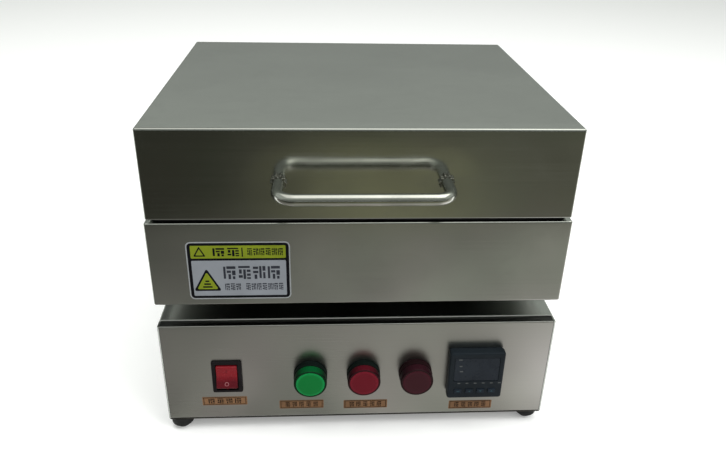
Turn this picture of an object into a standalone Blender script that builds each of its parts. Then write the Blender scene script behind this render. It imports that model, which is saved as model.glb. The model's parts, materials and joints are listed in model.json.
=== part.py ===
"""Benchtop reflow oven: an insulated, rear-hinged lid over a heated plate, standing on a control box.

Metres, +Z up, the front faces -Y. The origin is the middle of the bounding box, on the bench.
Every solid is one named object. Solids that touch keep TOUCH between them.
"""

import math

import bmesh
import bpy

MM = 0.001

# Driving dimensions of the three stacked boxes.
WIDTH = 338 * MM
LID_WIDTH = 335 * MM
DEPTH = 290 * MM
SHEET = 1.2 * MM
TOUCH = 0.3 * MM
FOOT_HEIGHT = 13 * MM
CONTROL_HEIGHT = 102.4 * MM
AIR_GAP = 19.4 * MM
BODY_HEIGHT = 75.2 * MM
LID_GAP = 2.8 * MM
LID_HEIGHT = 74.2 * MM
FOLD = 2 * MM

# Handle and hinges, which set how far the object reaches past its boxes.
ROD_RADIUS = 4.6 * MM
HANDLE_REACH = 33.6 * MM
HANDLE_SPACING = 127.8 * MM
KNUCKLE_RADIUS = 4.5 * MM
STOP_ANGLE = math.radians(100)
STOP_LENGTH = 13 * MM

# Heights of the faces, from the bench up.
BOX_BOTTOM = FOOT_HEIGHT
BOX_TOP = BOX_BOTTOM + CONTROL_HEIGHT
BODY_BOTTOM = BOX_TOP + AIR_GAP
BODY_TOP = BODY_BOTTOM + BODY_HEIGHT
LID_BOTTOM = BODY_TOP + LID_GAP
LID_TOP = LID_BOTTOM + LID_HEIGHT
PANEL_BOTTOM = BOX_BOTTOM + SHEET + TOUCH
PANEL_TOP = BOX_TOP - SHEET - TOUCH
FLOOR_TOP = BOX_BOTTOM + SHEET + TOUCH
HANDLE_Z = LID_TOP - 41.8 * MM

# The lid's hinge axis lies behind the rear wall, at the height of the gap.
PIVOT_BEHIND = TOUCH + KNUCKLE_RADIUS
PIVOT_Z = BODY_TOP + LID_GAP / 2
STOP_OFFSET = PIVOT_BEHIND - TOUCH
STOP_SLOPE = STOP_ANGLE - math.pi / 2
REAR_REACH = PIVOT_BEHIND + STOP_LENGTH * math.cos(STOP_SLOPE) + STOP_OFFSET * math.sin(STOP_SLOPE)
FRONT_REACH = HANDLE_REACH + ROD_RADIUS
FRONT = -DEPTH / 2 + (FRONT_REACH - REAR_REACH) / 2
REAR = FRONT + DEPTH
PIVOT_Y = REAR + PIVOT_BEHIND
HALF = WIDTH / 2
LID_HALF = LID_WIDTH / 2

# Places of the controls on the front panel.
SWITCH_X, SWITCH_Z = -114.5 * MM, 61.2 * MM
LAMP_Z = 62.2 * MM
LAMP_X = (-42.2 * MM, 4.2 * MM, 50 * MM)
METER_X, METER_Z = 102.6 * MM, 63.9 * MM

# The heater's leads and the thermocouple pass down through one feed-through.
FEED_Y = FRONT + 235 * MM
FEED_RADIUS = 15.2 * MM
ROD_END_X, ROD_END_Z = 8 * MM, BODY_BOTTOM + 8 * MM
PROBE_Y = FEED_Y + 8.5 * MM

# Heat chamber levels.
LINER_FLOOR = BODY_BOTTOM + 44.5 * MM
PLATE_BOTTOM = BODY_BOTTOM + 61 * MM
PLATE_TOP = PLATE_BOTTOM + 8 * MM
ELEMENT_RADIUS = 4 * MM
ELEMENT_Z = PLATE_BOTTOM - TOUCH - ELEMENT_RADIUS
CHAMBER_X = 150 * MM
CHAMBER_INSET = 22 * MM
LID_CEILING = LID_BOTTOM + 40 * MM
RIM_WIDTH = 14 * MM
INNER_SHEET = 1 * MM
BRIM_LAP = INNER_SHEET + TOUCH


def clear_scene():
    for obj in list(bpy.data.objects):
        bpy.data.objects.remove(obj)


# Materials: name -> (colour, roughness, metallic).
FINISHES = {
    "brushed_steel": ((0.55, 0.55, 0.52), 0.35, 1.0),
    "dull_steel": ((0.42, 0.42, 0.40), 0.5, 1.0),
    "handle_steel": ((0.72, 0.72, 0.70), 0.2, 1.0),
    "plate_aluminium": ((0.62, 0.62, 0.62), 0.4, 1.0),
    "black_rubber": ((0.02, 0.02, 0.02), 0.8, 0.0),
    "black_plastic": ((0.03, 0.03, 0.035), 0.45, 0.0),
    "meter_plastic": ((0.035, 0.045, 0.06), 0.4, 0.0),
    "meter_window": ((0.02, 0.025, 0.035), 0.1, 0.0),
    "key_plastic": ((0.07, 0.10, 0.12), 0.5, 0.0),
    "green_lens": ((0.0, 0.45, 0.12), 0.2, 0.0),
    "red_lens": ((0.5, 0.02, 0.04), 0.2, 0.0),
    "dark_red_lens": ((0.16, 0.02, 0.035), 0.25, 0.0),
    "rocker_red": ((0.55, 0.02, 0.03), 0.25, 0.0),
    "ceramic": ((0.85, 0.82, 0.75), 0.6, 0.0),
    "ceramic_fibre": ((0.85, 0.84, 0.80), 0.95, 0.0),
    "white_plastic": ((0.80, 0.79, 0.74), 0.45, 0.0),
    "lead_red": ((0.45, 0.03, 0.02), 0.5, 0.0),
    "lead_blue": ((0.02, 0.06, 0.35), 0.5, 0.0),
}


def make_materials():
    made = {}
    for name, (colour, roughness, metallic) in FINISHES.items():
        material = bpy.data.materials.new(name)
        material.use_nodes = True
        shader = material.node_tree.nodes["Principled BSDF"]
        shader.inputs["Base Color"].default_value = (*colour, 1.0)
        shader.inputs["Roughness"].default_value = roughness
        shader.inputs["Metallic"].default_value = metallic
        made[name] = material
    return made


# Mesh helpers. A shape is a bmesh, and each helper adds one closed piece to it.
def along(axis, a, b, c):
    """The point with across-coordinates a, b and c along the axis: X takes (y, z), Y takes (x, z)."""
    return {"X": (c, a, b), "Y": (a, c, b), "Z": (a, b, c)}[axis]


def add_loft(shape, rings, capped=True):
    """Closed skin over rings of equally many points; a ring of one point is an apex."""
    made = [[shape.verts.new(p) for p in ring] for ring in rings]
    count = max(len(ring) for ring in made)
    pairs = list(zip(made, made[1:]))
    if not capped:
        pairs.append((made[-1], made[0]))
    for low, high in pairs:
        for i in range(count):
            j = (i + 1) % count
            corners = [low[i % len(low)], low[j % len(low)]]
            corners += [high[j % len(high)], high[i % len(high)]]
            face = list(dict.fromkeys(corners))
            if len(face) > 2:
                shape.faces.new(face)
    if capped:
        for ring in (made[0], made[-1]):
            if len(ring) > 2:
                shape.faces.new(ring)


def add_prism(shape, outline, axis, start, end):
    add_loft(shape, [[along(axis, a, b, c) for a, b in outline] for c in (start, end)])


def add_box(shape, x, y, z):
    add_prism(shape, [(x[0], y[0]), (x[1], y[0]), (x[1], y[1]), (x[0], y[1])], "Z", *z)


def add_round(shape, profile, axis, centre, segments=24, ring=False):
    """A turned piece. The profile lists (radius, place along the axis); a ring's profile is a closed loop."""
    rings = []
    for radius, place in profile:
        if radius == 0:
            rings.append([along(axis, centre[0], centre[1], place)])
            continue
        turns = [2 * math.pi * i / segments for i in range(segments)]
        rings.append(
            [
                along(axis, centre[0] + radius * math.cos(t), centre[1] + radius * math.sin(t), place)
                for t in turns
            ]
        )
    add_loft(shape, rings, capped=not ring)


def add_rod(shape, axis, centre, radius, start, end, segments=24):
    add_round(shape, [(radius, start), (radius, end)], axis, centre, segments)


def add_tube(shape, axis, centre, inner, outer, start, end, segments=24):
    profile = [(inner, start), (outer, start), (outer, end), (inner, end)]
    add_round(shape, profile, axis, centre, segments, ring=True)


def bore_corner(radius, sides):
    """Corner radius of a many-sided bore that clears a round of this radius."""
    return (radius + TOUCH) / math.cos(math.pi / sides)


def rounded_rectangle(centre, half, radius, steps=2):
    """Outline of a rectangle with round corners, as (a, b) points."""
    points = []
    for quarter, (side_a, side_b) in enumerate(((1, 1), (-1, 1), (-1, -1), (1, -1))):
        for step in range(steps + 1):
            t = math.pi / 2 * (quarter + step / steps)
            a = centre[0] + side_a * (half[0] - radius) + radius * math.cos(t)
            b = centre[1] + side_b * (half[1] - radius) + radius * math.sin(t)
            points.append((a, b))
    return points


def folded_sheet(path, radius=FOLD, steps=3):
    """Outline of a strip of sheet folded along a path that turns left, with the metal on its left."""
    outer, inner = [], []
    for i, (a, b) in enumerate(path):
        if i in (0, len(path) - 1):
            near = path[1] if i == 0 else path[-2]
            length = math.dist((a, b), near)
            way = 1 if i == 0 else -1
            da, db = way * (near[0] - a) / length, way * (near[1] - b) / length
            outer.append((a, b))
            inner.append((a - db * SHEET, b + da * SHEET))
            continue
        before, after = path[i - 1], path[i + 1]
        heading = math.atan2(b - before[1], a - before[0])
        turn = (math.atan2(after[1] - b, after[0] - a) - heading) % (2 * math.pi)
        setback = radius * math.tan(turn / 2)
        centre_a = a - setback * math.cos(heading) - radius * math.sin(heading)
        centre_b = b - setback * math.sin(heading) + radius * math.cos(heading)
        for step in range(steps + 1):
            t = heading + turn * step / steps
            outer.append((centre_a + radius * math.sin(t), centre_b - radius * math.cos(t)))
            small = radius - SHEET
            inner.append((centre_a + small * math.sin(t), centre_b - small * math.cos(t)))
    return outer + inner[::-1]


def new_mesh(name, shape):
    bmesh.ops.recalc_face_normals(shape, faces=shape.faces)
    mesh = bpy.data.meshes.new(name)
    shape.to_mesh(mesh)
    shape.free()
    return mesh


def solid(name, material, shape, smooth=False, pivot=None):
    """Makes the shape a named object. A moving piece has its origin at pivot, on its joint's axis."""
    mesh = new_mesh(name, shape)
    mesh.materials.append(MATERIALS[material])
    if smooth:
        mesh.shade_smooth()
        mesh.set_sharp_from_angle(angle=math.radians(35))
    obj = bpy.data.objects.new(name, mesh)
    bpy.context.scene.collection.objects.link(obj)
    if pivot:
        for vertex in mesh.vertices:
            vertex.co = [c - p for c, p in zip(vertex.co, pivot)]
        obj.location = pivot
    return obj


def combine(obj, shape, operation="DIFFERENCE"):
    """Cuts the shape from the object, or joins it on with operation UNION."""
    number = len(obj.modifiers) + 1
    helper = bpy.data.objects.new(f"{obj.name}_{operation.lower()}_{number}", new_mesh("helper", shape))
    bpy.context.scene.collection.objects.link(helper)
    helper.hide_render = True
    helper.display_type = "WIRE"
    modifier = obj.modifiers.new(helper.name, "BOOLEAN")
    modifier.operation = operation
    modifier.solver = "EXACT"
    modifier.object = helper


def tube(name, material, points, radius, resolution=2):
    """A solid lead or rod along a smooth curve read from the points of its route."""
    curve = bpy.data.curves.new(name, "CURVE")
    curve.dimensions = "3D"
    curve.bevel_depth = radius
    curve.bevel_resolution = resolution
    curve.use_fill_caps = True
    spline = curve.splines.new("POLY")
    spline.points.add(len(points) - 1)
    for place, point in zip(spline.points, points):
        place.co = (*point, 1.0)
    spline.use_smooth = True
    curve.materials.append(MATERIALS[material])
    obj = bpy.data.objects.new(name, curve)
    bpy.context.scene.collection.objects.link(obj)
    return obj


def blend_four(a, b, c, d, t):
    """The Catmull-Rom value a fraction t of the way from b to c."""
    square = 2 * a - 5 * b + 4 * c - d
    cube = 3 * b - a - 3 * c + d
    return 0.5 * (2 * b + (c - a) * t + square * t**2 + cube * t**3)


def smooth_route(route, steps):
    """Points of a Catmull-Rom curve through a route, steps to each span."""
    ends = [route[0], *route, route[-1]]
    points = []
    for span in zip(ends, ends[1:], ends[2:], ends[3:]):
        for step in range(steps):
            points.append([blend_four(*values, step / steps) for values in zip(*span)])
    return [*points, route[-1]]


# Control box.
FLANGE_SHOWN = 8 * MM
PANEL_X = HALF - SHEET - TOUCH


def front_panel():
    tucked, lower_flange = 10 * MM, 12 * MM
    path = [
        (FRONT + FLANGE_SHOWN + tucked, PANEL_TOP),
        (FRONT, PANEL_TOP),
        (FRONT, PANEL_BOTTOM),
        (FRONT + lower_flange, PANEL_BOTTOM),
    ]
    shape = bmesh.new()
    add_prism(shape, folded_sheet(path), "X", -PANEL_X, PANEL_X)
    panel = solid("front_panel", "brushed_steel", shape)
    holes = bmesh.new()
    through = (FRONT - SHEET, FRONT + 3 * SHEET)
    cut_x, cut_z = 11.3 * MM, 15.3 * MM
    add_box(holes, (SWITCH_X - cut_x, SWITCH_X + cut_x), through, (SWITCH_Z - cut_z, SWITCH_Z + cut_z))
    for x in LAMP_X:
        add_rod(holes, "Y", (x, LAMP_Z), LAMP_STEM + TOUCH, *through)
    cut = METER_BODY / 2 + TOUCH
    add_box(holes, (METER_X - cut, METER_X + cut), through, (METER_Z - cut, METER_Z + cut))
    combine(panel, holes)


def control_cover():
    path = [(HALF, PANEL_BOTTOM), (HALF, BOX_TOP), (-HALF, BOX_TOP), (-HALF, PANEL_BOTTOM)]
    shape = bmesh.new()
    add_prism(shape, folded_sheet(path), "Y", FRONT, REAR)
    cover = solid("control_cover", "brushed_steel", shape)
    cuts = bmesh.new()
    add_box(cuts, (-WIDTH, WIDTH), (FRONT - FOLD, FRONT + FLANGE_SHOWN), (PANEL_TOP, BOX_TOP + FOLD))
    add_rod(cuts, "Z", (0, FEED_Y), FEED_RADIUS, BOX_TOP - 3 * SHEET, BOX_TOP + SHEET)
    combine(cover, cuts)


INLET_X, INLET_Z = -105 * MM, 62 * MM
INLET_HALF_X, INLET_HALF_Z = 13.6 * MM, 10.6 * MM


def rear_panel():
    flange = 12 * MM
    path = [
        (REAR - flange, PANEL_BOTTOM),
        (REAR, PANEL_BOTTOM),
        (REAR, PANEL_TOP),
        (REAR - flange, PANEL_TOP),
    ]
    shape = bmesh.new()
    add_prism(shape, folded_sheet(path), "X", -PANEL_X, PANEL_X)
    panel = solid("rear_panel", "brushed_steel", shape)
    holes = bmesh.new()
    through = (REAR - 3 * SHEET, REAR + SHEET)
    cut_x, cut_z = INLET_HALF_X + TOUCH, INLET_HALF_Z + TOUCH
    add_box(holes, (INLET_X - cut_x, INLET_X + cut_x), through, (INLET_Z - cut_z, INLET_Z + cut_z))
    vent_count, vent_start, vent_pitch, vent_half = 9, 40 * MM, 10 * MM, 1.6 * MM
    vent_low, vent_high = 42 * MM, 88 * MM
    for i in range(vent_count):
        x = vent_start + i * vent_pitch
        add_box(holes, (x - vent_half, x + vent_half), through, (vent_low, vent_high))
    combine(panel, holes)


FOOT_RADIUS = 9.8 * MM
FOOT_INSET = 11.5 * MM
FOOT_SET_BACK = 13.3 * MM
FOOT_BORE = 2.3 * MM
FEET = {
    "foot_front_left": (-HALF + FOOT_RADIUS, FRONT + FOOT_RADIUS),
    "foot_front_right": (HALF - FOOT_RADIUS, FRONT + FOOT_SET_BACK),
    "foot_rear_left": (-HALF + FOOT_INSET, REAR - FOOT_INSET),
    "foot_rear_right": (HALF - FOOT_INSET, REAR - FOOT_INSET),
}


def bottom_plate():
    inset = 0.5 * MM
    shape = bmesh.new()
    add_box(
        shape,
        (-HALF + inset, HALF - inset),
        (FRONT + inset, REAR - inset),
        (BOX_BOTTOM, BOX_BOTTOM + SHEET),
    )
    plate = solid("bottom_plate", "dull_steel", shape)
    holes = bmesh.new()
    through = (BOX_BOTTOM - SHEET, BOX_BOTTOM + 2 * SHEET)
    for x, y in FEET.values():
        add_rod(holes, "Z", (x, y), FOOT_BORE, *through, segments=12)
    slot_half, slot_length, slot_pitch, slot_count = 2 * MM, 40 * MM, 12 * MM, 6
    for row_y in (FRONT + 90 * MM, FRONT + 180 * MM):
        for i in range(slot_count):
            x = (i - (slot_count - 1) / 2) * slot_pitch
            add_box(holes, (x - slot_half, x + slot_half), (row_y, row_y + slot_length), through)
    combine(plate, holes)


def feet():
    neck, sole = 5.2 * MM, 5.0 * MM
    recess, recess_depth = 3.2 * MM, 6 * MM
    profile = [
        (recess, 0),
        (sole, 0),
        (FOOT_RADIUS, neck),
        (FOOT_RADIUS, FOOT_HEIGHT - TOUCH),
        (FOOT_BORE, FOOT_HEIGHT - TOUCH),
        (FOOT_BORE, recess_depth),
        (recess, recess_depth),
    ]
    for name, centre in FEET.items():
        shape = bmesh.new()
        add_round(shape, profile, "Z", centre, segments=20, ring=True)
        solid(name, "black_rubber", shape, smooth=True)


# Rocker switch: a housing with an open well, and the rocker on a pivot across it.
ROCKER_TILT = math.radians(11)
ROCKER_RADIUS = 13.4 * MM
ROCKER_PIVOT_Y = FRONT + 4 * MM
SWITCH_BACK = 33 * MM


def switch_housing():
    bezel_x, bezel_z, bezel = 13 * MM, 16.5 * MM, 2.3 * MM
    body_x, body_z, body_back = 11 * MM, 15 * MM, 24 * MM
    well_x, well_z, well_back = 9.5 * MM, 13.8 * MM, 19 * MM
    shape = bmesh.new()
    edge = 0.8 * MM
    base = rounded_rectangle((SWITCH_X, SWITCH_Z), (bezel_x, bezel_z), edge)
    face = rounded_rectangle((SWITCH_X, SWITCH_Z), (bezel_x - edge, bezel_z - edge), edge)
    levels = ((base, FRONT - TOUCH), (base, FRONT - bezel + edge), (face, FRONT - bezel))
    add_loft(shape, [[along("Y", a, b, y) for a, b in ring] for ring, y in levels])
    housing = solid("switch_housing", "black_plastic", shape)
    body = bmesh.new()
    add_box(
        body,
        (SWITCH_X - body_x, SWITCH_X + body_x),
        (FRONT - bezel / 2, FRONT + body_back),
        (SWITCH_Z - body_z, SWITCH_Z + body_z),
    )
    combine(housing, body, "UNION")
    tabs = bmesh.new()
    tab_x, tab_z, tab_pitch, tab_root = 3.1 * MM, 0.4 * MM, 9 * MM, 2 * MM
    for z in (SWITCH_Z - tab_pitch, SWITCH_Z, SWITCH_Z + tab_pitch):
        add_box(
            tabs,
            (SWITCH_X - tab_x, SWITCH_X + tab_x),
            (FRONT + body_back - tab_root, FRONT + SWITCH_BACK),
            (z - tab_z, z + tab_z),
        )
    combine(housing, tabs, "UNION")
    well = bmesh.new()
    add_box(
        well,
        (SWITCH_X - well_x, SWITCH_X + well_x),
        (FRONT - 2 * bezel, FRONT + well_back),
        (SWITCH_Z - well_z, SWITCH_Z + well_z),
    )
    combine(housing, well)


def heights_round(nose, shoulder, steps=4):
    """Heights along the rocker's round end, from its nose to its shoulder."""
    low, high = (math.sqrt(ROCKER_RADIUS**2 - a**2) for a in (nose, shoulder))
    return [low + (high - low) * i / steps for i in range(steps + 1)]


def rocker_button():
    half_x, nose, valley, shoulder, heel_z, heel = 9 * MM, 9.3 * MM, 7.3 * MM, 3 * MM, 5 * MM, 8 * MM
    outline = [(-valley, 0)]
    upper = [(-math.sqrt(ROCKER_RADIUS**2 - z**2), z) for z in heights_round(nose, shoulder)]
    outline += upper
    outline += [(heel, heel_z), (heel, -heel_z)]
    outline += [(a, -b) for a, b in reversed(upper)]
    turned = []
    for y, z in outline:
        turned.append(
            (
                ROCKER_PIVOT_Y + y * math.cos(ROCKER_TILT) + z * math.sin(ROCKER_TILT),
                SWITCH_Z - y * math.sin(ROCKER_TILT) + z * math.cos(ROCKER_TILT),
            )
        )
    shape = bmesh.new()
    add_prism(shape, turned, "X", SWITCH_X - half_x, SWITCH_X + half_x)
    solid("rocker_button", "rocker_red", shape, pivot=(SWITCH_X, ROCKER_PIVOT_Y, SWITCH_Z))


# Pilot lamps: a collared stem through the panel, a lens in front of it and a nut behind.
LAMP_STEM = 10.9 * MM
LAMP_COLLAR = 14.7 * MM
COLLAR_DEPTH = 6.8 * MM
LAMPS = (
    ("green", "green_lens", "black_plastic", 8.6 * MM),
    ("red", "red_lens", "black_plastic", 8 * MM),
    ("alarm", "dark_red_lens", "dark_red_lens", 8.6 * MM),
)


def lamps():
    stem_back, wall = 30 * MM, 1.5 * MM
    lens_radius, lens_face, lens_step = 14.3 * MM, 12.7 * MM, 1.2 * MM
    nut_outer, nut_from, nut_to, nut_sides = 14.5 * MM, SHEET + TOUCH, SHEET + 5 * MM, 12
    for x, (name, glass, moulding, lens_depth) in zip(LAMP_X, LAMPS):
        centre = (x, LAMP_Z)
        collar_face = FRONT - COLLAR_DEPTH
        shape = bmesh.new()
        profile = [
            (0, FRONT + stem_back),
            (LAMP_STEM, FRONT + stem_back),
            (LAMP_STEM, FRONT - TOUCH),
            (LAMP_COLLAR, FRONT - TOUCH),
            (LAMP_COLLAR, collar_face + wall),
            (LAMP_COLLAR - wall / 2, collar_face),
            (0, collar_face),
        ]
        add_round(shape, profile, "Y", centre)
        solid(f"lamp_body_{name}", moulding, shape, smooth=True)
        shape = bmesh.new()
        lens_back, lens_front = collar_face - TOUCH, collar_face - lens_depth
        profile = [
            (0, lens_back),
            (lens_radius, lens_back),
            (lens_radius, lens_front + 2 * lens_step),
            (lens_face, lens_front + lens_step / 2),
            (lens_face * 0.6, lens_front),
            (0, lens_front),
        ]
        add_round(shape, profile, "Y", centre)
        solid(f"lamp_lens_{name}", glass, shape, smooth=True)
        shape = bmesh.new()
        bore = bore_corner(LAMP_STEM, nut_sides)
        add_tube(shape, "Y", centre, bore, nut_outer, FRONT + nut_from, FRONT + nut_to, nut_sides)
        solid(f"lamp_nut_{name}", "white_plastic", shape)


# Temperature controller: case, dark window and four keys.
METER_BODY = 44.6 * MM
METER_FACE = (48.6 * MM, 49 * MM)
METER_TAPER = 1 * MM
METER_REACH = 10 * MM
METER_BACK = 88 * MM
WINDOW_X, WINDOW_LOW, WINDOW_HIGH = 20 * MM, -5.5 * MM, 19.5 * MM
WINDOW_DEPTH = 1.5 * MM
KEY_Z = METER_Z - 16 * MM
KEY_PITCH = 10 * MM
KEY_HALF_X, KEY_HALF_Z = 3.4 * MM, 2.2 * MM
KEY_PROUD = 0.8 * MM
KEY_TRAVEL = 0.6 * MM
KEY_DEPTH = 4 * MM


def controller():
    face_y = FRONT - METER_REACH
    edge = 1.5 * MM
    levels = (
        (METER_TAPER, FRONT - TOUCH),
        (0, face_y + 2 * edge),
        (0, face_y + edge / 2),
        (edge / 2, face_y),
    )
    rings = []
    for inset, y in levels:
        half = [size / 2 - inset for size in METER_FACE]
        outline = rounded_rectangle((METER_X, METER_Z), half, edge)
        rings.append([along("Y", a, b, y) for a, b in outline])
    shape = bmesh.new()
    add_loft(shape, rings)
    case = solid("controller_case", "meter_plastic", shape)
    body = bmesh.new()
    half = METER_BODY / 2
    add_box(
        body,
        (METER_X - half, METER_X + half),
        (FRONT - 2 * TOUCH, FRONT + METER_BACK),
        (METER_Z - half, METER_Z + half),
    )
    combine(case, body, "UNION")
    pockets = bmesh.new()
    add_box(
        pockets,
        (METER_X - WINDOW_X, METER_X + WINDOW_X),
        (face_y - 1 * MM, face_y + WINDOW_DEPTH),
        (METER_Z + WINDOW_LOW, METER_Z + WINDOW_HIGH),
    )
    pocket_floor = face_y - KEY_PROUD + KEY_DEPTH + KEY_TRAVEL + TOUCH
    for i in range(4):
        x = METER_X + (i - 1.5) * KEY_PITCH
        add_box(
            pockets,
            (x - KEY_HALF_X - TOUCH, x + KEY_HALF_X + TOUCH),
            (face_y - 1 * MM, pocket_floor),
            (KEY_Z - KEY_HALF_Z - TOUCH, KEY_Z + KEY_HALF_Z + TOUCH),
        )
    combine(case, pockets)
    shape = bmesh.new()
    add_box(
        shape,
        (METER_X - WINDOW_X + TOUCH, METER_X + WINDOW_X - TOUCH),
        (face_y, face_y + WINDOW_DEPTH - TOUCH),
        (METER_Z + WINDOW_LOW + TOUCH, METER_Z + WINDOW_HIGH - TOUCH),
    )
    solid("controller_window", "meter_window", shape)
    for i, name in enumerate(("set", "shift", "down", "up")):
        x = METER_X + (i - 1.5) * KEY_PITCH
        shape = bmesh.new()
        low, high = face_y - KEY_PROUD, face_y - KEY_PROUD + KEY_DEPTH
        add_prism(
            shape,
            rounded_rectangle((x, KEY_Z), (KEY_HALF_X, KEY_HALF_Z), 0.8 * MM),
            "Y",
            low,
            high,
        )
        solid(f"controller_key_{name}", "key_plastic", shape, pivot=(x, low, KEY_Z))


# Inside the control box.
RELAY_X, RELAY_Y = -85 * MM, FRONT + 190 * MM
SINK_TOP = FLOOR_TOP + 30 * MM
RELAY_TOP = SINK_TOP + TOUCH + 23 * MM
BLOCK_X, BLOCK_Y = 36 * MM, FRONT + 205 * MM
BLOCK_TOP = FLOOR_TOP + 20 * MM


def relay():
    half_x, half_y, slab, fin_half, fin_count = 32 * MM, 40 * MM, 6 * MM, 1 * MM, 7
    pitch = (2 * half_x - 2 * fin_half) / (fin_count - 1)
    outline = [(RELAY_X + half_x, SINK_TOP), (RELAY_X - half_x, SINK_TOP)]
    for i in range(fin_count):
        x = RELAY_X - half_x + fin_half + i * pitch
        top = SINK_TOP - slab
        outline += [(x - fin_half, top)] * (i > 0)
        outline += [(x - fin_half, FLOOR_TOP), (x + fin_half, FLOOR_TOP)]
        outline += [(x + fin_half, top)] * (i < fin_count - 1)
    shape = bmesh.new()
    add_prism(shape, outline, "Y", RELAY_Y - half_y, RELAY_Y + half_y)
    solid("relay_heatsink", "plate_aluminium", shape)
    shape = bmesh.new()
    half_x, half_y, step, step_down = 22.5 * MM, 29 * MM, 12 * MM, 7 * MM
    outline = [
        (RELAY_Y - half_y, SINK_TOP + TOUCH),
        (RELAY_Y + half_y, SINK_TOP + TOUCH),
        (RELAY_Y + half_y, RELAY_TOP - step_down),
        (RELAY_Y + half_y - step, RELAY_TOP - step_down),
        (RELAY_Y + half_y - step, RELAY_TOP),
        (RELAY_Y - half_y + step, RELAY_TOP),
        (RELAY_Y - half_y + step, RELAY_TOP - step_down),
        (RELAY_Y - half_y, RELAY_TOP - step_down),
    ]
    add_prism(shape, outline, "X", RELAY_X - half_x, RELAY_X + half_x)
    solid("solid_state_relay", "white_plastic", shape)


def terminal_block():
    half_x, half_y, ways = 36 * MM, 9 * MM, 6
    shape = bmesh.new()
    add_box(
        shape,
        (BLOCK_X - half_x, BLOCK_X + half_x),
        (BLOCK_Y - half_y, BLOCK_Y + half_y),
        (FLOOR_TOP, BLOCK_TOP),
    )
    block = solid("terminal_block", "black_plastic", shape)
    wells = bmesh.new()
    pitch = 2 * half_x / ways
    well_half, wall, well_depth = pitch / 2 - 1 * MM, 2.5 * MM, 6 * MM
    for i in range(ways):
        x = BLOCK_X - half_x + (i + 0.5) * pitch
        add_box(
            wells,
            (x - well_half, x + well_half),
            (BLOCK_Y - half_y + wall, BLOCK_Y + half_y - wall),
            (BLOCK_TOP - well_depth, BLOCK_TOP + 1 * MM),
        )
    combine(block, wells)


def power_inlet():
    flange_x, flange_z, flange, corner = 25 * MM, 13.5 * MM, 3 * MM, 5 * MM
    shroud, back = 5 * MM, 18 * MM
    well_x, well_z, well_floor = 11.8 * MM, 8.9 * MM, 14 * MM
    shape = bmesh.new()
    outline = rounded_rectangle((INLET_X, INLET_Z), (flange_x, flange_z), corner, 3)
    add_prism(shape, outline, "Y", REAR + TOUCH, REAR + TOUCH + flange)
    inlet = solid("power_inlet", "black_plastic", shape)
    body = bmesh.new()
    outline = rounded_rectangle((INLET_X, INLET_Z), (INLET_HALF_X, INLET_HALF_Z), 2 * MM)
    add_prism(body, outline, "Y", REAR - back, REAR + shroud)
    combine(inlet, body, "UNION")
    well = bmesh.new()
    outline = rounded_rectangle((INLET_X, INLET_Z), (well_x, well_z), 1 * MM)
    add_prism(well, outline, "Y", REAR - well_floor, REAR + shroud + 1 * MM)
    combine(inlet, well)
    pins = bmesh.new()
    pin_x, pin_z, pin_front = 1 * MM, 2 * MM, REAR + 1 * MM
    for x, z in ((-7 * MM, -3.5 * MM), (0, 0.5 * MM), (7 * MM, -3.5 * MM)):
        add_box(
            pins,
            (INLET_X + x - pin_x, INLET_X + x + pin_x),
            (REAR - well_floor - 2 * MM, pin_front),
            (INLET_Z + z - pin_z, INLET_Z + z + pin_z),
        )
    combine(inlet, pins, "UNION")


# Between the control box and the heated body.
STANDOFF_X, STANDOFF_FRONT_Y, STANDOFF_REAR_Y = 115 * MM, FRONT + 100 * MM, REAR - 45 * MM
STANDOFFS = {
    "standoff_front_left": (-STANDOFF_X, STANDOFF_FRONT_Y),
    "standoff_front_right": (STANDOFF_X, STANDOFF_FRONT_Y),
    "standoff_rear_left": (-STANDOFF_X, STANDOFF_REAR_Y),
    "standoff_rear_right": (STANDOFF_X, STANDOFF_REAR_Y),
}


def standoffs():
    radius, rim, rim_height = 9 * MM, 13 * MM, 2 * MM
    low, high = BOX_TOP + TOUCH, BODY_BOTTOM - TOUCH
    profile = [
        (0, low),
        (rim, low),
        (rim, low + rim_height),
        (radius, low + rim_height),
        (radius, high - rim_height),
        (rim, high - rim_height),
        (rim, high),
        (0, high),
    ]
    for name, centre in STANDOFFS.items():
        shape = bmesh.new()
        add_round(shape, profile, "Z", centre, segments=16)
        solid(name, "dull_steel", shape, smooth=True)
    shape = bmesh.new()
    add_tube(shape, "Z", (0, FEED_Y), FEED_RADIUS, FEED_RADIUS + 3 * MM, low, high)
    solid("wire_conduit", "dull_steel", shape, smooth=True)


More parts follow.
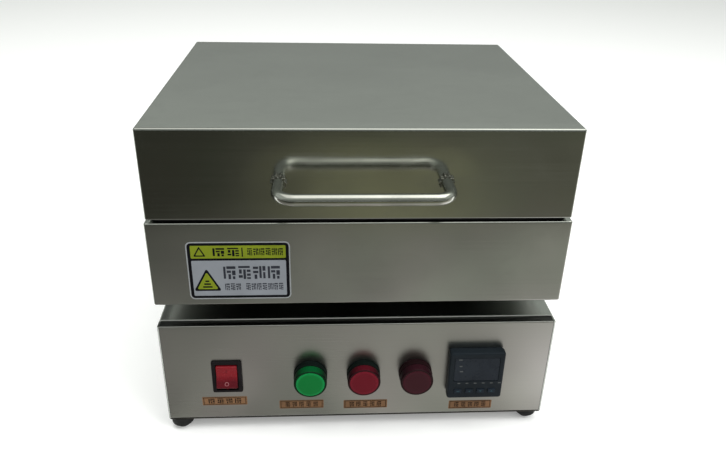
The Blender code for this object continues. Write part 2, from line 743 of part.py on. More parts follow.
# Heated body and lid: each is a folded outer pan, a fibre lining and a smaller inner pan.
def outer_pan(name, half, closed_z, rim_z):
    """A pan of this half width closed at closed_z, whose open side at rim_z has a rim folded inwards."""
    inward = 1 if rim_z > closed_z else -1
    shape = bmesh.new()
    middle, chamfer = (0, (FRONT + REAR) / 2), 0.6 * MM
    outline = rounded_rectangle(middle, (half, DEPTH / 2), FOLD)
    soft = rounded_rectangle(middle, (half - chamfer, DEPTH / 2 - chamfer), FOLD)
    softest = rounded_rectangle(middle, (half - FOLD, DEPTH / 2 - FOLD), FOLD / 2)
    steps = [(softest, 0), (soft, chamfer), (outline, FOLD)]
    levels = [(ring, closed_z + inward * drop) for ring, drop in steps]
    levels += [(ring, rim_z - inward * drop) for ring, drop in reversed(steps)]
    add_loft(shape, [[(a, b, z) for a, b in ring] for ring, z in levels])
    pan = solid(name, "brushed_steel", shape)
    hollow = bmesh.new()
    inner_x, inner_front, inner_rear = half - SHEET, FRONT + SHEET, REAR - SHEET
    z = sorted((closed_z + inward * SHEET, rim_z - inward * SHEET))
    add_box(hollow, (-inner_x, inner_x), (inner_front, inner_rear), z)
    combine(pan, hollow)
    mouth = bmesh.new()
    z = sorted((rim_z - inward * 2 * SHEET, rim_z + inward * SHEET))
    add_box(mouth, (-half + RIM_WIDTH, half - RIM_WIDTH), (FRONT + RIM_WIDTH, REAR - RIM_WIDTH), z)
    combine(pan, mouth)
    return pan


def inner_pan(name, floor_z, brim_z):
    """A pan with its closed side at floor_z and a brim folded outwards at brim_z."""
    inward = 1 if brim_z > floor_z else -1
    gauge, brim = INNER_SHEET, 16 * MM
    low_y, high_y = FRONT + CHAMBER_INSET, REAR - CHAMBER_INSET
    shape = bmesh.new()
    z = sorted((floor_z, brim_z - inward * gauge / 2))
    add_box(shape, (-CHAMBER_X, CHAMBER_X), (low_y, high_y), z)
    pan = solid(name, "dull_steel", shape)
    collar = bmesh.new()
    z = sorted((brim_z, brim_z - inward * gauge))
    add_box(collar, (-CHAMBER_X - brim, CHAMBER_X + brim), (low_y - brim, high_y + brim), z)
    combine(pan, collar, "UNION")
    hollow = bmesh.new()
    z = sorted((floor_z + inward * gauge, brim_z + inward * gauge))
    add_box(
        hollow,
        (-CHAMBER_X + gauge, CHAMBER_X - gauge),
        (low_y + gauge, high_y - gauge),
        z,
    )
    combine(pan, hollow)
    return pan


def lining(name, half, outer_z, pocket_z, brim_z, front_air):
    """Fibre between the two pans: a slab from outer_z to brim_z with a pocket down to pocket_z."""
    air = SHEET + TOUCH
    shape = bmesh.new()
    z = sorted((outer_z, brim_z))
    add_box(shape, (-half + air, half - air), (FRONT + front_air, REAR - air), z)
    fibre = solid(name, "ceramic_fibre", shape)
    pocket = bmesh.new()
    overshoot = 0.1
    beyond = brim_z + (brim_z - outer_z) * overshoot
    z = sorted((pocket_z, beyond))
    x = CHAMBER_X + TOUCH
    y = (FRONT + CHAMBER_INSET - TOUCH, REAR - CHAMBER_INSET + TOUCH)
    add_box(pocket, (-x, x), y, z)
    combine(fibre, pocket)
    return fibre


def heated_body():
    brim_top = BODY_TOP - SHEET - TOUCH
    shell = outer_pan("oven_shell", HALF, BODY_BOTTOM, BODY_TOP)
    liner = inner_pan("oven_liner", LINER_FLOOR, brim_top)
    fibre = lining(
        "oven_insulation",
        HALF,
        BODY_BOTTOM + SHEET + TOUCH,
        LINER_FLOOR - TOUCH,
        brim_top - BRIM_LAP,
        SHEET + TOUCH,
    )
    for part in (shell, liner, fibre):
        hole = bmesh.new()
        add_rod(hole, "Z", (0, FEED_Y), FEED_RADIUS + TOUCH, BODY_BOTTOM - SHEET, LINER_FLOOR + 3 * MM)
        combine(part, hole)
    shape = bmesh.new()
    margin = 5 * MM
    plate_x = (-CHAMBER_X + margin, CHAMBER_X - margin)
    plate_y = (FRONT + CHAMBER_INSET + margin, REAR - CHAMBER_INSET - margin)
    outline = rounded_rectangle(
        (0, sum(plate_y) / 2),
        (plate_x[1], (plate_y[1] - plate_y[0]) / 2),
        3 * MM,
    )
    add_prism(shape, outline, "Z", PLATE_BOTTOM, PLATE_TOP)
    solid("hot_plate", "plate_aluminium", shape)


def seal_gasket():
    inset, width = 2.6 * MM, 8 * MM
    z = (BODY_TOP + TOUCH, LID_BOTTOM - TOUCH)
    shape = bmesh.new()
    rings = []
    for offset, height in ((inset, z[0]), (inset, z[1]), (inset + width, z[1]), (inset + width, z[0])):
        outline = rounded_rectangle(
            (0, (FRONT + REAR) / 2),
            (LID_HALF - offset, DEPTH / 2 - offset),
            2 * MM,
        )
        rings.append([(a, b, height) for a, b in outline])
    add_loft(shape, rings, capped=False)
    solid("seal_gasket", "black_rubber", shape)


def heating_element():
    """A sheathed rod in a zigzag under the plate, with both ends bent down into the feed-through."""
    reach, inner, pitch, rows = 115 * MM, 38 * MM, 35 * MM, 6
    bend = 8 * MM
    steps = 6
    points = [(ROD_END_X, FEED_Y, ROD_END_Z)]
    for i in range(steps + 1):
        t = math.pi / 2 * i / steps
        points.append((ROD_END_X + bend * (1 - math.cos(t)), FEED_Y, ELEMENT_Z - bend + bend * math.sin(t)))
    for row in range(rows - 1):
        x, way = (reach, 1) if row % 2 == 0 else (inner, -1)
        y = FEED_Y - row * pitch
        for step in range(steps + 1):
            t = math.pi * step / steps
            points.append((x + way * pitch / 2 * math.sin(t), y - pitch / 2 * (1 - math.cos(t)), ELEMENT_Z))
    mirrored = [(-x, y, z) for x, y, z in reversed(points)]
    tube("heating_element", "dull_steel", points + mirrored, ELEMENT_RADIUS)


def feed_through():
    """Ceramic bush with a brim on the liner's floor and a hole for each lead."""
    low, floor = BODY_BOTTOM + 12 * MM, LINER_FLOOR + BRIM_LAP
    brim, brim_height = 20 * MM, 2.4 * MM
    shape = bmesh.new()
    profile = [
        (0, low),
        (FEED_RADIUS, low),
        (FEED_RADIUS, floor),
        (brim, floor),
        (brim, floor + brim_height),
        (0, floor + brim_height),
    ]
    add_round(shape, profile, "Z", (0, FEED_Y))
    bush = solid("feed_through", "ceramic", shape, smooth=True)
    holes = bmesh.new()
    through = (low - 1 * MM, floor + brim_height + 1 * MM)
    for x in (-ROD_END_X, ROD_END_X):
        add_rod(holes, "Z", (x, FEED_Y), ELEMENT_RADIUS + TOUCH, *through, segments=16)
    add_rod(holes, "Z", (0, PROBE_Y), PROBE_HOLE, *through, segments=12)
    combine(bush, holes)


PROBE_RADIUS = 1.6 * MM
PROBE_HOLE = 2.5 * MM
LEAD_RADIUS = 2.2 * MM
LEAD_END = 1 * MM


def leads():
    """Leads held inside the housings from end to end, and the thermocouple with its tip on the plate."""
    probe_z = LINER_FLOOR + 8 * MM
    tip_y = FRONT + 150 * MM
    inside_z = BOX_TOP - 14 * MM
    thermocouple = [
        (0, tip_y, PLATE_BOTTOM - LEAD_END),
        (0, tip_y + 3 * MM, probe_z + 2 * MM),
        (0, tip_y + 14 * MM, probe_z),
        (0, PROBE_Y - 20 * MM, probe_z),
        (0, PROBE_Y - 3 * MM, probe_z - 0.5 * MM),
        (0, PROBE_Y, probe_z - 3.5 * MM),
        (0, PROBE_Y, LINER_FLOOR - 2 * MM),
        (0, PROBE_Y, BODY_BOTTOM + 20 * MM),
        (0, PROBE_Y, BODY_BOTTOM),
        (0, PROBE_Y, inside_z + 10 * MM),
        (10 * MM, PROBE_Y + 3 * MM, inside_z - 2 * MM),
        (45 * MM, PROBE_Y - 2 * MM, inside_z - 6 * MM),
        (85 * MM, FRONT + 185 * MM, inside_z - 10 * MM),
        (METER_X, FRONT + 120 * MM, METER_Z + 16 * MM),
        (METER_X, FRONT + METER_BACK + 10 * MM, METER_Z + 12 * MM),
        (METER_X, FRONT + METER_BACK + LEAD_END, METER_Z + 12 * MM),
    ]
    tube("thermocouple", "dull_steel", smooth_route(thermocouple, 4), PROBE_RADIUS)
    lead_top = ROD_END_Z - LEAD_END
    relay_end = (RELAY_X + 8 * MM, RELAY_Y + 10 * MM)
    live = [
        (-ROD_END_X, FEED_Y, lead_top),
        (-ROD_END_X, FEED_Y, BODY_BOTTOM - 8 * MM),
        (-ROD_END_X, FEED_Y, inside_z + 8 * MM),
        (-ROD_END_X - 12 * MM, FEED_Y - 6 * MM, inside_z - 6 * MM),
        (relay_end[0] + 20 * MM, relay_end[1] + 12 * MM, RELAY_TOP + 18 * MM),
        (relay_end[0] + 2 * MM, relay_end[1] + 2 * MM, RELAY_TOP + 12 * MM),
        (*relay_end, RELAY_TOP + LEAD_END),
    ]
    tube("heater_lead_live", "lead_red", smooth_route(live, 4), LEAD_RADIUS)
    neutral = [
        (ROD_END_X, FEED_Y, lead_top),
        (ROD_END_X, FEED_Y, BODY_BOTTOM - 8 * MM),
        (ROD_END_X, FEED_Y - 1 * MM, inside_z),
        (ROD_END_X + 4 * MM, FEED_Y - 10 * MM, inside_z - 30 * MM),
        (BLOCK_X - 6 * MM, BLOCK_Y + 4 * MM, BLOCK_TOP + 18 * MM),
        (BLOCK_X - 6 * MM, BLOCK_Y, BLOCK_TOP - 5 * MM),
    ]
    tube("heater_lead_neutral", "lead_blue", smooth_route(neutral, 4), LEAD_RADIUS)
    side_x = -HALF + 28 * MM
    mains = [
        (INLET_X, REAR - 18 * MM - LEAD_END, INLET_Z),
        (INLET_X - 3 * MM, REAR - 30 * MM, INLET_Z - 6 * MM),
        (side_x, REAR - 60 * MM, FLOOR_TOP + 14 * MM),
        (side_x, FRONT + 150 * MM, FLOOR_TOP + 8 * MM),
        (side_x, FRONT + 80 * MM, FLOOR_TOP + 14 * MM),
        (SWITCH_X - 4 * MM, FRONT + SWITCH_BACK + 15 * MM, SWITCH_Z - 6 * MM),
        (SWITCH_X, FRONT + SWITCH_BACK + 7 * MM, SWITCH_Z),
        (SWITCH_X, FRONT + SWITCH_BACK + LEAD_END, SWITCH_Z),
    ]
    tube("mains_lead", "black_rubber", smooth_route(mains, 4), LEAD_RADIUS)
    control = [
        (METER_X, FRONT + METER_BACK + LEAD_END, METER_Z - 10 * MM),
        (METER_X, FRONT + METER_BACK + 9 * MM, METER_Z - 10 * MM),
        (METER_X, FRONT + METER_BACK + 18 * MM, METER_Z - 11 * MM),
        (70 * MM, FRONT + 130 * MM, METER_Z - 16 * MM),
        (0, FRONT + 150 * MM, METER_Z),
        (RELAY_X + 30 * MM, RELAY_Y - 30 * MM, RELAY_TOP + 14 * MM),
        (RELAY_X + 8 * MM, RELAY_Y - 12 * MM, RELAY_TOP + 10 * MM),
        (RELAY_X + 8 * MM, RELAY_Y - 10 * MM, RELAY_TOP + LEAD_END),
    ]
    tube("control_lead", "black_rubber", smooth_route(control, 4), LEAD_RADIUS)


# Lid.
def lid():
    brim = LID_BOTTOM + SHEET + TOUCH
    shell = outer_pan("lid_shell", LID_HALF, LID_TOP, LID_BOTTOM)
    holes = bmesh.new()
    for x in (-HANDLE_SPACING / 2, HANDLE_SPACING / 2):
        add_rod(holes, "Y", (x, HANDLE_Z), STUD_RADIUS + TOUCH, FRONT - SHEET, FRONT + 3 * SHEET, 16)
    combine(shell, holes)
    inner_pan("lid_liner", LID_CEILING, brim)
    lining(
        "lid_insulation",
        LID_HALF,
        LID_TOP - SHEET - TOUCH,
        LID_CEILING + TOUCH,
        brim + BRIM_LAP,
        NUT_ROOM,
    )


STUD_RADIUS = 2.5 * MM
COLLAR_RADIUS = 6.4 * MM
COLLAR_THICK = 3 * MM
NUT_THICK = 4 * MM
NUT_ROOM = SHEET + NUT_THICK + 4 * MM


def handle():
    """A rod bent to a U, with a stud at each end that passes through the lid's front."""
    bend, steps = 13.5 * MM, 6
    shoulder = FRONT - COLLAR_THICK - 2 * TOUCH
    half = HANDLE_SPACING / 2
    bar_y = FRONT - HANDLE_REACH
    points = [(-half, shoulder, HANDLE_Z)]
    for corner, first in ((-half + bend, math.pi), (half - bend, 1.5 * math.pi)):
        for i in range(steps + 1):
            t = first + math.pi / 2 * i / steps
            points.append((corner + bend * math.cos(t), bar_y + bend + bend * math.sin(t), HANDLE_Z))
    points.append((half, shoulder, HANDLE_Z))
    rings = []
    sides = 12
    for i, (x, y, z) in enumerate(points):
        before, after = points[max(i - 1, 0)], points[min(i + 1, len(points) - 1)]
        heading = math.atan2(after[1] - before[1], after[0] - before[0])
        turns = [2 * math.pi * k / sides for k in range(sides)]
        rings.append(
            [
                (
                    x - math.sin(heading) * ROD_RADIUS * math.cos(t),
                    y + math.cos(heading) * ROD_RADIUS * math.cos(t),
                    z + ROD_RADIUS * math.sin(t),
                )
                for t in turns
            ]
        )
    shape = bmesh.new()
    add_loft(shape, rings)
    rod = solid("handle", "handle_steel", shape, smooth=True)
    studs = bmesh.new()
    stud_end = FRONT + SHEET + NUT_THICK + 2 * MM
    for x in (-half, half):
        add_rod(studs, "Y", (x, HANDLE_Z), STUD_RADIUS, shoulder - 3 * MM, stud_end, 16)
    combine(rod, studs, "UNION")


def handle_fasteners():
    teeth, deep = 10, 0.8 * MM
    for side, x in (("left", -HANDLE_SPACING / 2), ("right", HANDLE_SPACING / 2)):
        rings = []
        low, high = FRONT - TOUCH - COLLAR_THICK, FRONT - TOUCH
        inner = STUD_RADIUS + TOUCH
        for outer, y in ((False, low), (True, low), (True, high), (False, high)):
            ring = []
            for i in range(2 * teeth):
                t = math.pi * i / teeth
                radius = COLLAR_RADIUS - deep * (i % 2) if outer else inner
                ring.append((x + radius * math.cos(t), y, HANDLE_Z + radius * math.sin(t)))
            rings.append(ring)
        shape = bmesh.new()
        add_loft(shape, rings, capped=False)
        solid(f"handle_collar_{side}", "handle_steel", shape)
        shape = bmesh.new()
        start = FRONT + SHEET + TOUCH
        bore, across_corners = bore_corner(STUD_RADIUS, 6), 4.6 * MM
        add_tube(shape, "Y", (x, HANDLE_Z), bore, across_corners, start, start + NUT_THICK, 6)
        solid(f"handle_nut_{side}", "handle_steel", shape)


# Hinges.
HINGE_X = 105 * MM
HINGE_HALF = 30 * MM
LEAF = 2 * MM
LEAF_LENGTH = 36 * MM
PIN_RADIUS = 2.15 * MM
MIDDLE_HALF = 11.5 * MM
KNUCKLE_GAP = 0.5 * MM
KNUCKLE_CLEAR = 5 * MM


def hinge_leaf(name, centre_x, way, knuckles):
    """A leaf that goes up from the axis (way 1) or down (way -1), with its knuckles at these places in x."""
    y = (REAR + TOUCH, REAR + TOUCH + LEAF)
    z = sorted((PIVOT_Z + way * KNUCKLE_CLEAR, PIVOT_Z + way * LEAF_LENGTH))
    shape = bmesh.new()
    add_box(shape, (centre_x - HINGE_HALF, centre_x + HINGE_HALF), y, z)
    leaf = solid(name, "dull_steel", shape)
    for start, end in knuckles:
        web = bmesh.new()
        z = sorted((PIVOT_Z, PIVOT_Z + way * (KNUCKLE_CLEAR + 1 * MM)))
        add_box(web, (centre_x + start, centre_x + end), y, z)
        combine(leaf, web, "UNION")
        barrel = bmesh.new()
        add_rod(barrel, "X", (PIVOT_Y, PIVOT_Z), KNUCKLE_RADIUS, centre_x + start, centre_x + end, 20)
        combine(leaf, barrel, "UNION")
    bore = bmesh.new()
    reach = HINGE_HALF + 1 * MM
    add_rod(bore, "X", (PIVOT_Y, PIVOT_Z), PIN_RADIUS + TOUCH, centre_x - reach, centre_x + reach, 20)
    combine(leaf, bore)
    return leaf


def hinge_stop(leaf, centre_x, outward):
    """A gusset on the fixed leaf, whose sloping top is what the open lid's rear wall comes to rest on."""
    slope = (math.cos(STOP_SLOPE), math.sin(STOP_SLOPE))
    near, low = 2 * MM, 30 * MM

    def top(s):
        y = PIVOT_Y + s * slope[0] + STOP_OFFSET * slope[1]
        return (y, PIVOT_Z - s * slope[1] + STOP_OFFSET * slope[0])

    heel = REAR + TOUCH
    outline = [top(near), top(STOP_LENGTH), (heel + 10 * MM, PIVOT_Z - 12 * MM)]
    outline += [(heel + LEAF, PIVOT_Z - low), (heel, PIVOT_Z - low), (heel, PIVOT_Z - KNUCKLE_CLEAR)]
    inner, thick = HINGE_HALF + 1.5 * MM, 3 * MM
    x = sorted((centre_x + outward * inner, centre_x + outward * (inner + thick)))
    gusset = bmesh.new()
    add_prism(gusset, outline, "X", *x)
    combine(leaf, gusset, "UNION")
    bridge = bmesh.new()
    ends = (HINGE_HALF - 1 * MM, inner + thick / 2)
    x = sorted(centre_x + outward * end for end in ends)
    add_box(bridge, x, (heel, heel + LEAF), (PIVOT_Z - low, PIVOT_Z - KNUCKLE_CLEAR - 1 * MM))
    combine(leaf, bridge, "UNION")


def hinges():
    middle = [(-MIDDLE_HALF, MIDDLE_HALF)]
    outer = [
        (-HINGE_HALF, -MIDDLE_HALF - KNUCKLE_GAP),
        (MIDDLE_HALF + KNUCKLE_GAP, HINGE_HALF),
    ]
    for side, outward in (("left", -1), ("right", 1)):
        x = outward * HINGE_X
        fixed = hinge_leaf(f"hinge_body_leaf_{side}", x, -1, outer)
        hinge_stop(fixed, x, outward)
        hinge_leaf(f"hinge_lid_leaf_{side}", x, 1, middle)
        shape = bmesh.new()
        pin_half = HINGE_HALF + 0.5 * MM
        add_rod(shape, "X", (PIVOT_Y, PIVOT_Z), PIN_RADIUS, x - pin_half, x + pin_half, 20)
        solid(f"hinge_pin_{side}", "handle_steel", shape, smooth=True)


LID_NODES = (
    "lid_shell",
    "lid_liner",
    "lid_insulation",
    "handle",
    "handle_collar_left",
    "handle_collar_right",
    "handle_nut_left",
    "handle_nut_right",
    "hinge_lid_leaf_left",
    "hinge_lid_leaf_right",
)


def hang_lid():
    """Parents the lid's pieces to an empty on the hinge axis."""
    pivot = bpy.data.objects.new("lid_pivot", None)
    pivot.location = (0, PIVOT_Y, PIVOT_Z)
    bpy.context.scene.collection.objects.link(pivot)
    bpy.context.view_layer.update()
    helpers = [o.name for o in bpy.data.objects if o.hide_render]
    moving = [*LID_NODES, *(h for h in helpers if h.startswith(LID_NODES))]
    for name in moving:
        obj = bpy.data.objects[name]
        obj.parent = pivot
        obj.matrix_parent_inverse = pivot.matrix_world.inverted()


clear_scene()
MATERIALS = make_materials()
front_panel()
control_cover()
rear_panel()
bottom_plate()
feet()
switch_housing()
rocker_button()
lamps()
controller()
relay()
terminal_block()
power_inlet()
standoffs()
heated_body()
seal_gasket()
heating_element()
feed_through()
leads()
lid()
handle()
handle_fasteners()
hinges()
hang_lid()
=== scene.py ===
import json
import math

import bmesh
import bpy
from mathutils import Matrix, Vector


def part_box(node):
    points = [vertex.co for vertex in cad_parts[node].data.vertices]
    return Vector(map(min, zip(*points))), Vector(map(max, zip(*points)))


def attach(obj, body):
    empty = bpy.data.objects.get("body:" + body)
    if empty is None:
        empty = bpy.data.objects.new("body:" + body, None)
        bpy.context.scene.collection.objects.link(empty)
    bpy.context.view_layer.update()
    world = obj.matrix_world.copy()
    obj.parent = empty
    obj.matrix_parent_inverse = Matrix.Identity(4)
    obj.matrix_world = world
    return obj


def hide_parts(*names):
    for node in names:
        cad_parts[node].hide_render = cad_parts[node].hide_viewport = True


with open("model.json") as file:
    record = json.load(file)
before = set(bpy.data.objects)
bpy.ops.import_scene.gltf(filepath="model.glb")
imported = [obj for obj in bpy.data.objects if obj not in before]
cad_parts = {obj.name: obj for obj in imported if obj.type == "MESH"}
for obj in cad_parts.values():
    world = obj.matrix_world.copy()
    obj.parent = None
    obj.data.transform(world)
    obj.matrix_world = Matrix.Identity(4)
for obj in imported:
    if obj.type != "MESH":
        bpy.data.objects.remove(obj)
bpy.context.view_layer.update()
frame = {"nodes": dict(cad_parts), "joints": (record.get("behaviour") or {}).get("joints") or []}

MM = 0.001
LID_LOW, LID_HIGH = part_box("lid_shell")
OVEN_LOW, OVEN_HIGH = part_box("oven_shell")
PANEL_LOW, PANEL_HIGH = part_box("front_panel")
COVER_LOW, COVER_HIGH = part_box("control_cover")
FRONT, REAR = LID_LOW.y, LID_HIGH.y
MID_Y = (FRONT + REAR) / 2
HALF_DEPTH = (REAR - FRONT) / 2
SHEET = 1.2 * MM
FOLD = 2 * MM
TOUCH = 0.3 * MM
SIDES = ("left", "right")
LAMPS = ("green", "red", "alarm")
KEYS = ("set", "shift", "down", "up")


def front_view(node):
    """The node's box, then the middle and the half size of its front view, as (x, z)."""
    low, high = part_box(node)
    middle = ((low.x + high.x) / 2, (low.z + high.z) / 2)
    return low, high, middle, ((high.x - low.x) / 2, (high.z - low.z) / 2)


def centre_of(node):
    low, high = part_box(node)
    return (low + high) / 2


# Materials.
class Graph:
    """Nodes of one material, around its Principled shader."""

    def __init__(self, name, direct):
        self.material = bpy.data.materials.new(name)
        self.material.use_nodes = True
        self.tree = self.material.node_tree
        self.shader = self.tree.nodes["Principled BSDF"]
        self.coordinates = self.tree.nodes.new("ShaderNodeTexCoord")
        for socket, value in direct.items():
            self.shader.inputs[socket].default_value = value

    def node(self, kind, inputs, **settings):
        made = self.tree.nodes.new(kind)
        for key, value in settings.items():
            setattr(made, key, value)
        self.feed(made, inputs)
        return made

    def feed(self, node, inputs):
        for key, value in inputs.items():
            if isinstance(value, bpy.types.NodeSocket):
                self.tree.links.new(value, node.inputs[key])
            else:
                node.inputs[key].default_value = value

    def parts(self, kind="Object"):
        """The three parts of the place on the object, or of its Normal."""
        return self.node("ShaderNodeSeparateXYZ", {0: self.coordinates.outputs[kind]}).outputs

    def vector(self, operation, a, b=(1.0, 1.0, 1.0)):
        return self.node("ShaderNodeVectorMath", {0: a, 1: b}, operation=operation).outputs

    def noise(self, pitch, detail=3.0, distortion=0.0):
        """Noise about 0.5, with its own number of waves a metre along each axis."""
        pitch = pitch if isinstance(pitch, tuple) else (pitch, pitch, pitch)
        place = self.vector("MULTIPLY", self.coordinates.outputs["Object"], pitch)[0]
        texture = {"Vector": place, "Scale": 1.0, "Detail": detail, "Distortion": distortion}
        return self.node("ShaderNodeTexNoise", texture).outputs[0]

    def remap(self, value, low, high, start=0.3, end=0.7):
        limits = {"Value": value, "From Min": start, "From Max": end, "To Min": low, "To Max": high}
        return self.node("ShaderNodeMapRange", limits).outputs[0]

    def math(self, operation, a, b=0.0):
        return self.node("ShaderNodeMath", {0: a, 1: b}, operation=operation).outputs[0]

    def between(self, share, a, b):
        """Colour that goes from a to b as the share goes from 0 to 1."""
        return self.node("ShaderNodeMix", {0: share, 6: a, 7: b}, data_type="RGBA").outputs[2]

    def blended(self, way, a, b):
        return self.node("ShaderNodeMix", {0: 1.0, 6: a, 7: b}, data_type="RGBA", blend_type=way).outputs[2]

    def number_between(self, share, a, b):
        return self.node("ShaderNodeMix", {0: share, 2: a, 3: b}).outputs[0]

    def closeness(self, centre, size):
        """A soft hump: one at the centre, and nothing from the distances in size outwards."""
        offset = self.vector("SUBTRACT", self.coordinates.outputs["Object"], centre)[0]
        length = self.vector("LENGTH", self.vector("DIVIDE", offset, size)[0])[1]
        limits = {"Value": length, "From Min": 1.0, "From Max": 0.0, "To Min": 0.0, "To Max": 1.0}
        return self.node("ShaderNodeMapRange", limits, interpolation_type="SMOOTHSTEP").outputs[0]

    def bump(self, layers):
        """Bumps from (height, depth in metres) layers, one on another."""
        normal = None
        for height, depth in layers:
            inputs = {"Height": height, "Distance": depth, "Strength": 1.0}
            if normal:
                inputs["Normal"] = normal
            normal = self.node("ShaderNodeBump", inputs).outputs[0]
        self.feed(self.shader, {"Normal": normal})

    def added(self, a, b):
        return self.math("ADD", a, b)

    def paint(self, colour, roughness):
        self.feed(self.shader, {"Base Color": colour, "Roughness": roughness})
        return self.material


def shade(colour, factor):
    return (*(min(c * factor, 1.0) for c in colour[:3]), 1.0)


def steel(name, colour, roughness, wave, smudge=0.0, dents=(), underside_shade=1.0, over=1.0, cut_edge=False):
    """Brushed sheet, waved by so many millimetres, with painted shade on faces that look down or up.

    The grain runs along X on faces that face front, back, up or down, and along Y on the sides.
    """
    graph = Graph(name, {"Metallic": 1.0})
    fine, long, streak = 1300.0, 7.0, 0.03
    grain_x = graph.noise((long, fine, fine), 2.0)
    grain_y = graph.noise((fine, long, fine), 2.0)
    facing = graph.parts("Normal")
    on_side = graph.math("GREATER_THAN", graph.math("ABSOLUTE", facing[0]), 0.7)
    grain = graph.number_between(on_side, grain_x, grain_y)
    cloud = graph.noise(9.0, 2.0, 0.4)
    patch = graph.noise(34.0, 4.0, 1.2)
    strength = graph.added(graph.remap(grain, -streak, streak), graph.remap(cloud, 0.42, 0.58))
    tone = graph.between(strength, shade(colour, 0.75), shade(colour, 1.25))
    marks = graph.remap(patch, 0.0, smudge, 0.5, 0.72)
    tone = graph.between(marks, tone, shade(colour, 0.6))
    # Painted shade: faces that look down are darkened by their factor and made rougher; faces that look up
    # are darkened by over.
    below = graph.math("LESS_THAN", facing[2], -0.8)
    above = graph.math("GREATER_THAN", facing[2], 0.8)
    tone = graph.between(below, tone, shade(colour, underside_shade))
    tone = graph.between(above, tone, shade(colour, over)) if over < 1 else tone
    brushed = graph.remap(grain, roughness - 0.03, roughness + 0.03)
    rough = graph.added(brushed, graph.remap(cloud, -0.02, 0.02))
    rough = graph.added(rough, graph.math("MULTIPLY", marks, 0.6))
    rough = graph.number_between(below, rough, roughness + 0.25 * (1 - underside_shade))
    layers = [(graph.noise(8.0, 1.0), wave * MM), (grain, 0.001 * MM)]
    for centre, size, depth in dents:
        layers.append((graph.closeness(centre, size), depth))
    graph.bump(layers)
    if cut_edge:
        sawn = graph.math("LESS_THAN", facing[1], -0.7)
        graph.feed(graph.shader, {"Metallic": graph.math("SUBTRACT", 1.0, sawn)})
        tone = graph.between(sawn, tone, shade(colour, 0.9))
    return graph.paint(tone, rough)


def metal(name, colour, roughness, grain=400.0, tint=None, depth=0.01, scale=26.0):
    """Metal with an even fine grain, clouded with a tint where heat or handling has dulled it."""
    graph = Graph(name, {"Metallic": 1.0})
    cloud = graph.noise(scale, 3.0, 0.5)
    fine = graph.noise(grain, 3.0)
    dulled = (*tint, 1.0) if tint else shade(colour, 0.88)
    tone = graph.between(graph.remap(cloud, 0.0, 1.0), shade(colour, 1.06), dulled)
    rough = graph.remap(cloud, roughness - 0.04, roughness + 0.05)
    graph.bump([(fine, depth * MM)])
    return graph.paint(tone, graph.added(rough, graph.remap(fine, -0.03, 0.03)))


def plastic(name, colour, roughness, grain=900.0, depth=0.02, mottle=0.12, shine=0.2, glow=0.0):
    """Moulded plastic, rubber, vinyl or ceramic with a fine grain, lighter and duller in soft patches."""
    white = (1.0, 1.0, 1.0, 1.0)
    # Glow is an even white emission: on the dark plastics, the pane and the inks it is painted light; on the
    # floor it keeps the floor evenly pale.
    graph = Graph(name, {"Specular IOR Level": shine, "Emission Color": white, "Emission Strength": glow})
    cloud = graph.noise(45.0, 3.0, 0.3)
    fine = graph.noise(grain, 2.0)
    tone = graph.between(graph.remap(cloud, 0.0, 1.0), shade(colour, 1 - mottle), shade(colour, 1 + mottle))
    rough = graph.remap(cloud, roughness - 0.05, roughness + 0.05)
    graph.bump([(fine, depth * MM)])
    return graph.paint(tone, graph.added(rough, graph.remap(fine, -0.04, 0.04)))


def moulding(name, centre, low, high, roughness, tones):
    """Glossy plastic in four tones: middle and rim of the face, flanks in painted shade, and a painted
    highlight on the top of the flank.
    """
    graph = Graph(name, {"Specular IOR Level": 0.12})
    place = graph.vector("SUBTRACT", graph.coordinates.outputs["Object"], centre)[0]
    away = graph.vector("LENGTH", graph.vector("MULTIPLY", place, (1.0, 0.0, 1.0))[0])[1]
    up = graph.parts("Normal")[2]
    middle, rim, flank, crest = (shade(tone, 1.0) for tone in tones)
    face = graph.between(graph.remap(away, 0.0, 1.0, low, high), middle, rim)
    # The flank's tone follows how far it faces up: a painted highlight on top and painted shade down its
    # sides.
    side = graph.between(graph.remap(up, 0.0, 1.0, 0.55, 1.0), flank, crest)
    tone = graph.between(graph.math("GREATER_THAN", away, high + 1.4 * MM), face, side)
    fine = graph.noise(500.0, 2.0)
    graph.bump([(fine, 0.008 * MM)])
    return graph.paint(tone, graph.remap(fine, roughness - 0.03, roughness + 0.03))


def graded(name, bottom, top, low, high, roughness):
    """Moulded plastic whose colour goes from bottom to top between two heights; on the rocker the darker
    bottom is painted shade and the lighter top a painted highlight.
    """
    graph = Graph(name, {"Specular IOR Level": 0.3})
    fine = graph.noise(700.0, 2.0)
    rise = graph.remap(graph.parts()[2], 0.0, 1.0, low, high)
    share = graph.added(rise, graph.remap(graph.noise(90.0), -0.15, 0.15))
    graph.bump([(fine, 0.004 * MM)])
    tone = graph.between(share, (*bottom, 1.0), (*top, 1.0))
    return graph.paint(tone, graph.remap(fine, roughness - 0.03, roughness + 0.03))


SWITCH_Z = centre_of("rocker_button").z
# The rocker's tones, bottom and top: painted shade low on the rocker, a painted highlight high on it.
ROCKER_LIT_TONES = ((0.085, 0.005, 0.010), (0.20, 0.006, 0.012))
ROCKER_HEIGHTS = (SWITCH_Z - 4 * MM, SWITCH_Z + 3 * MM)
LENS_RIM = (9.8 * MM, 12.1 * MM)
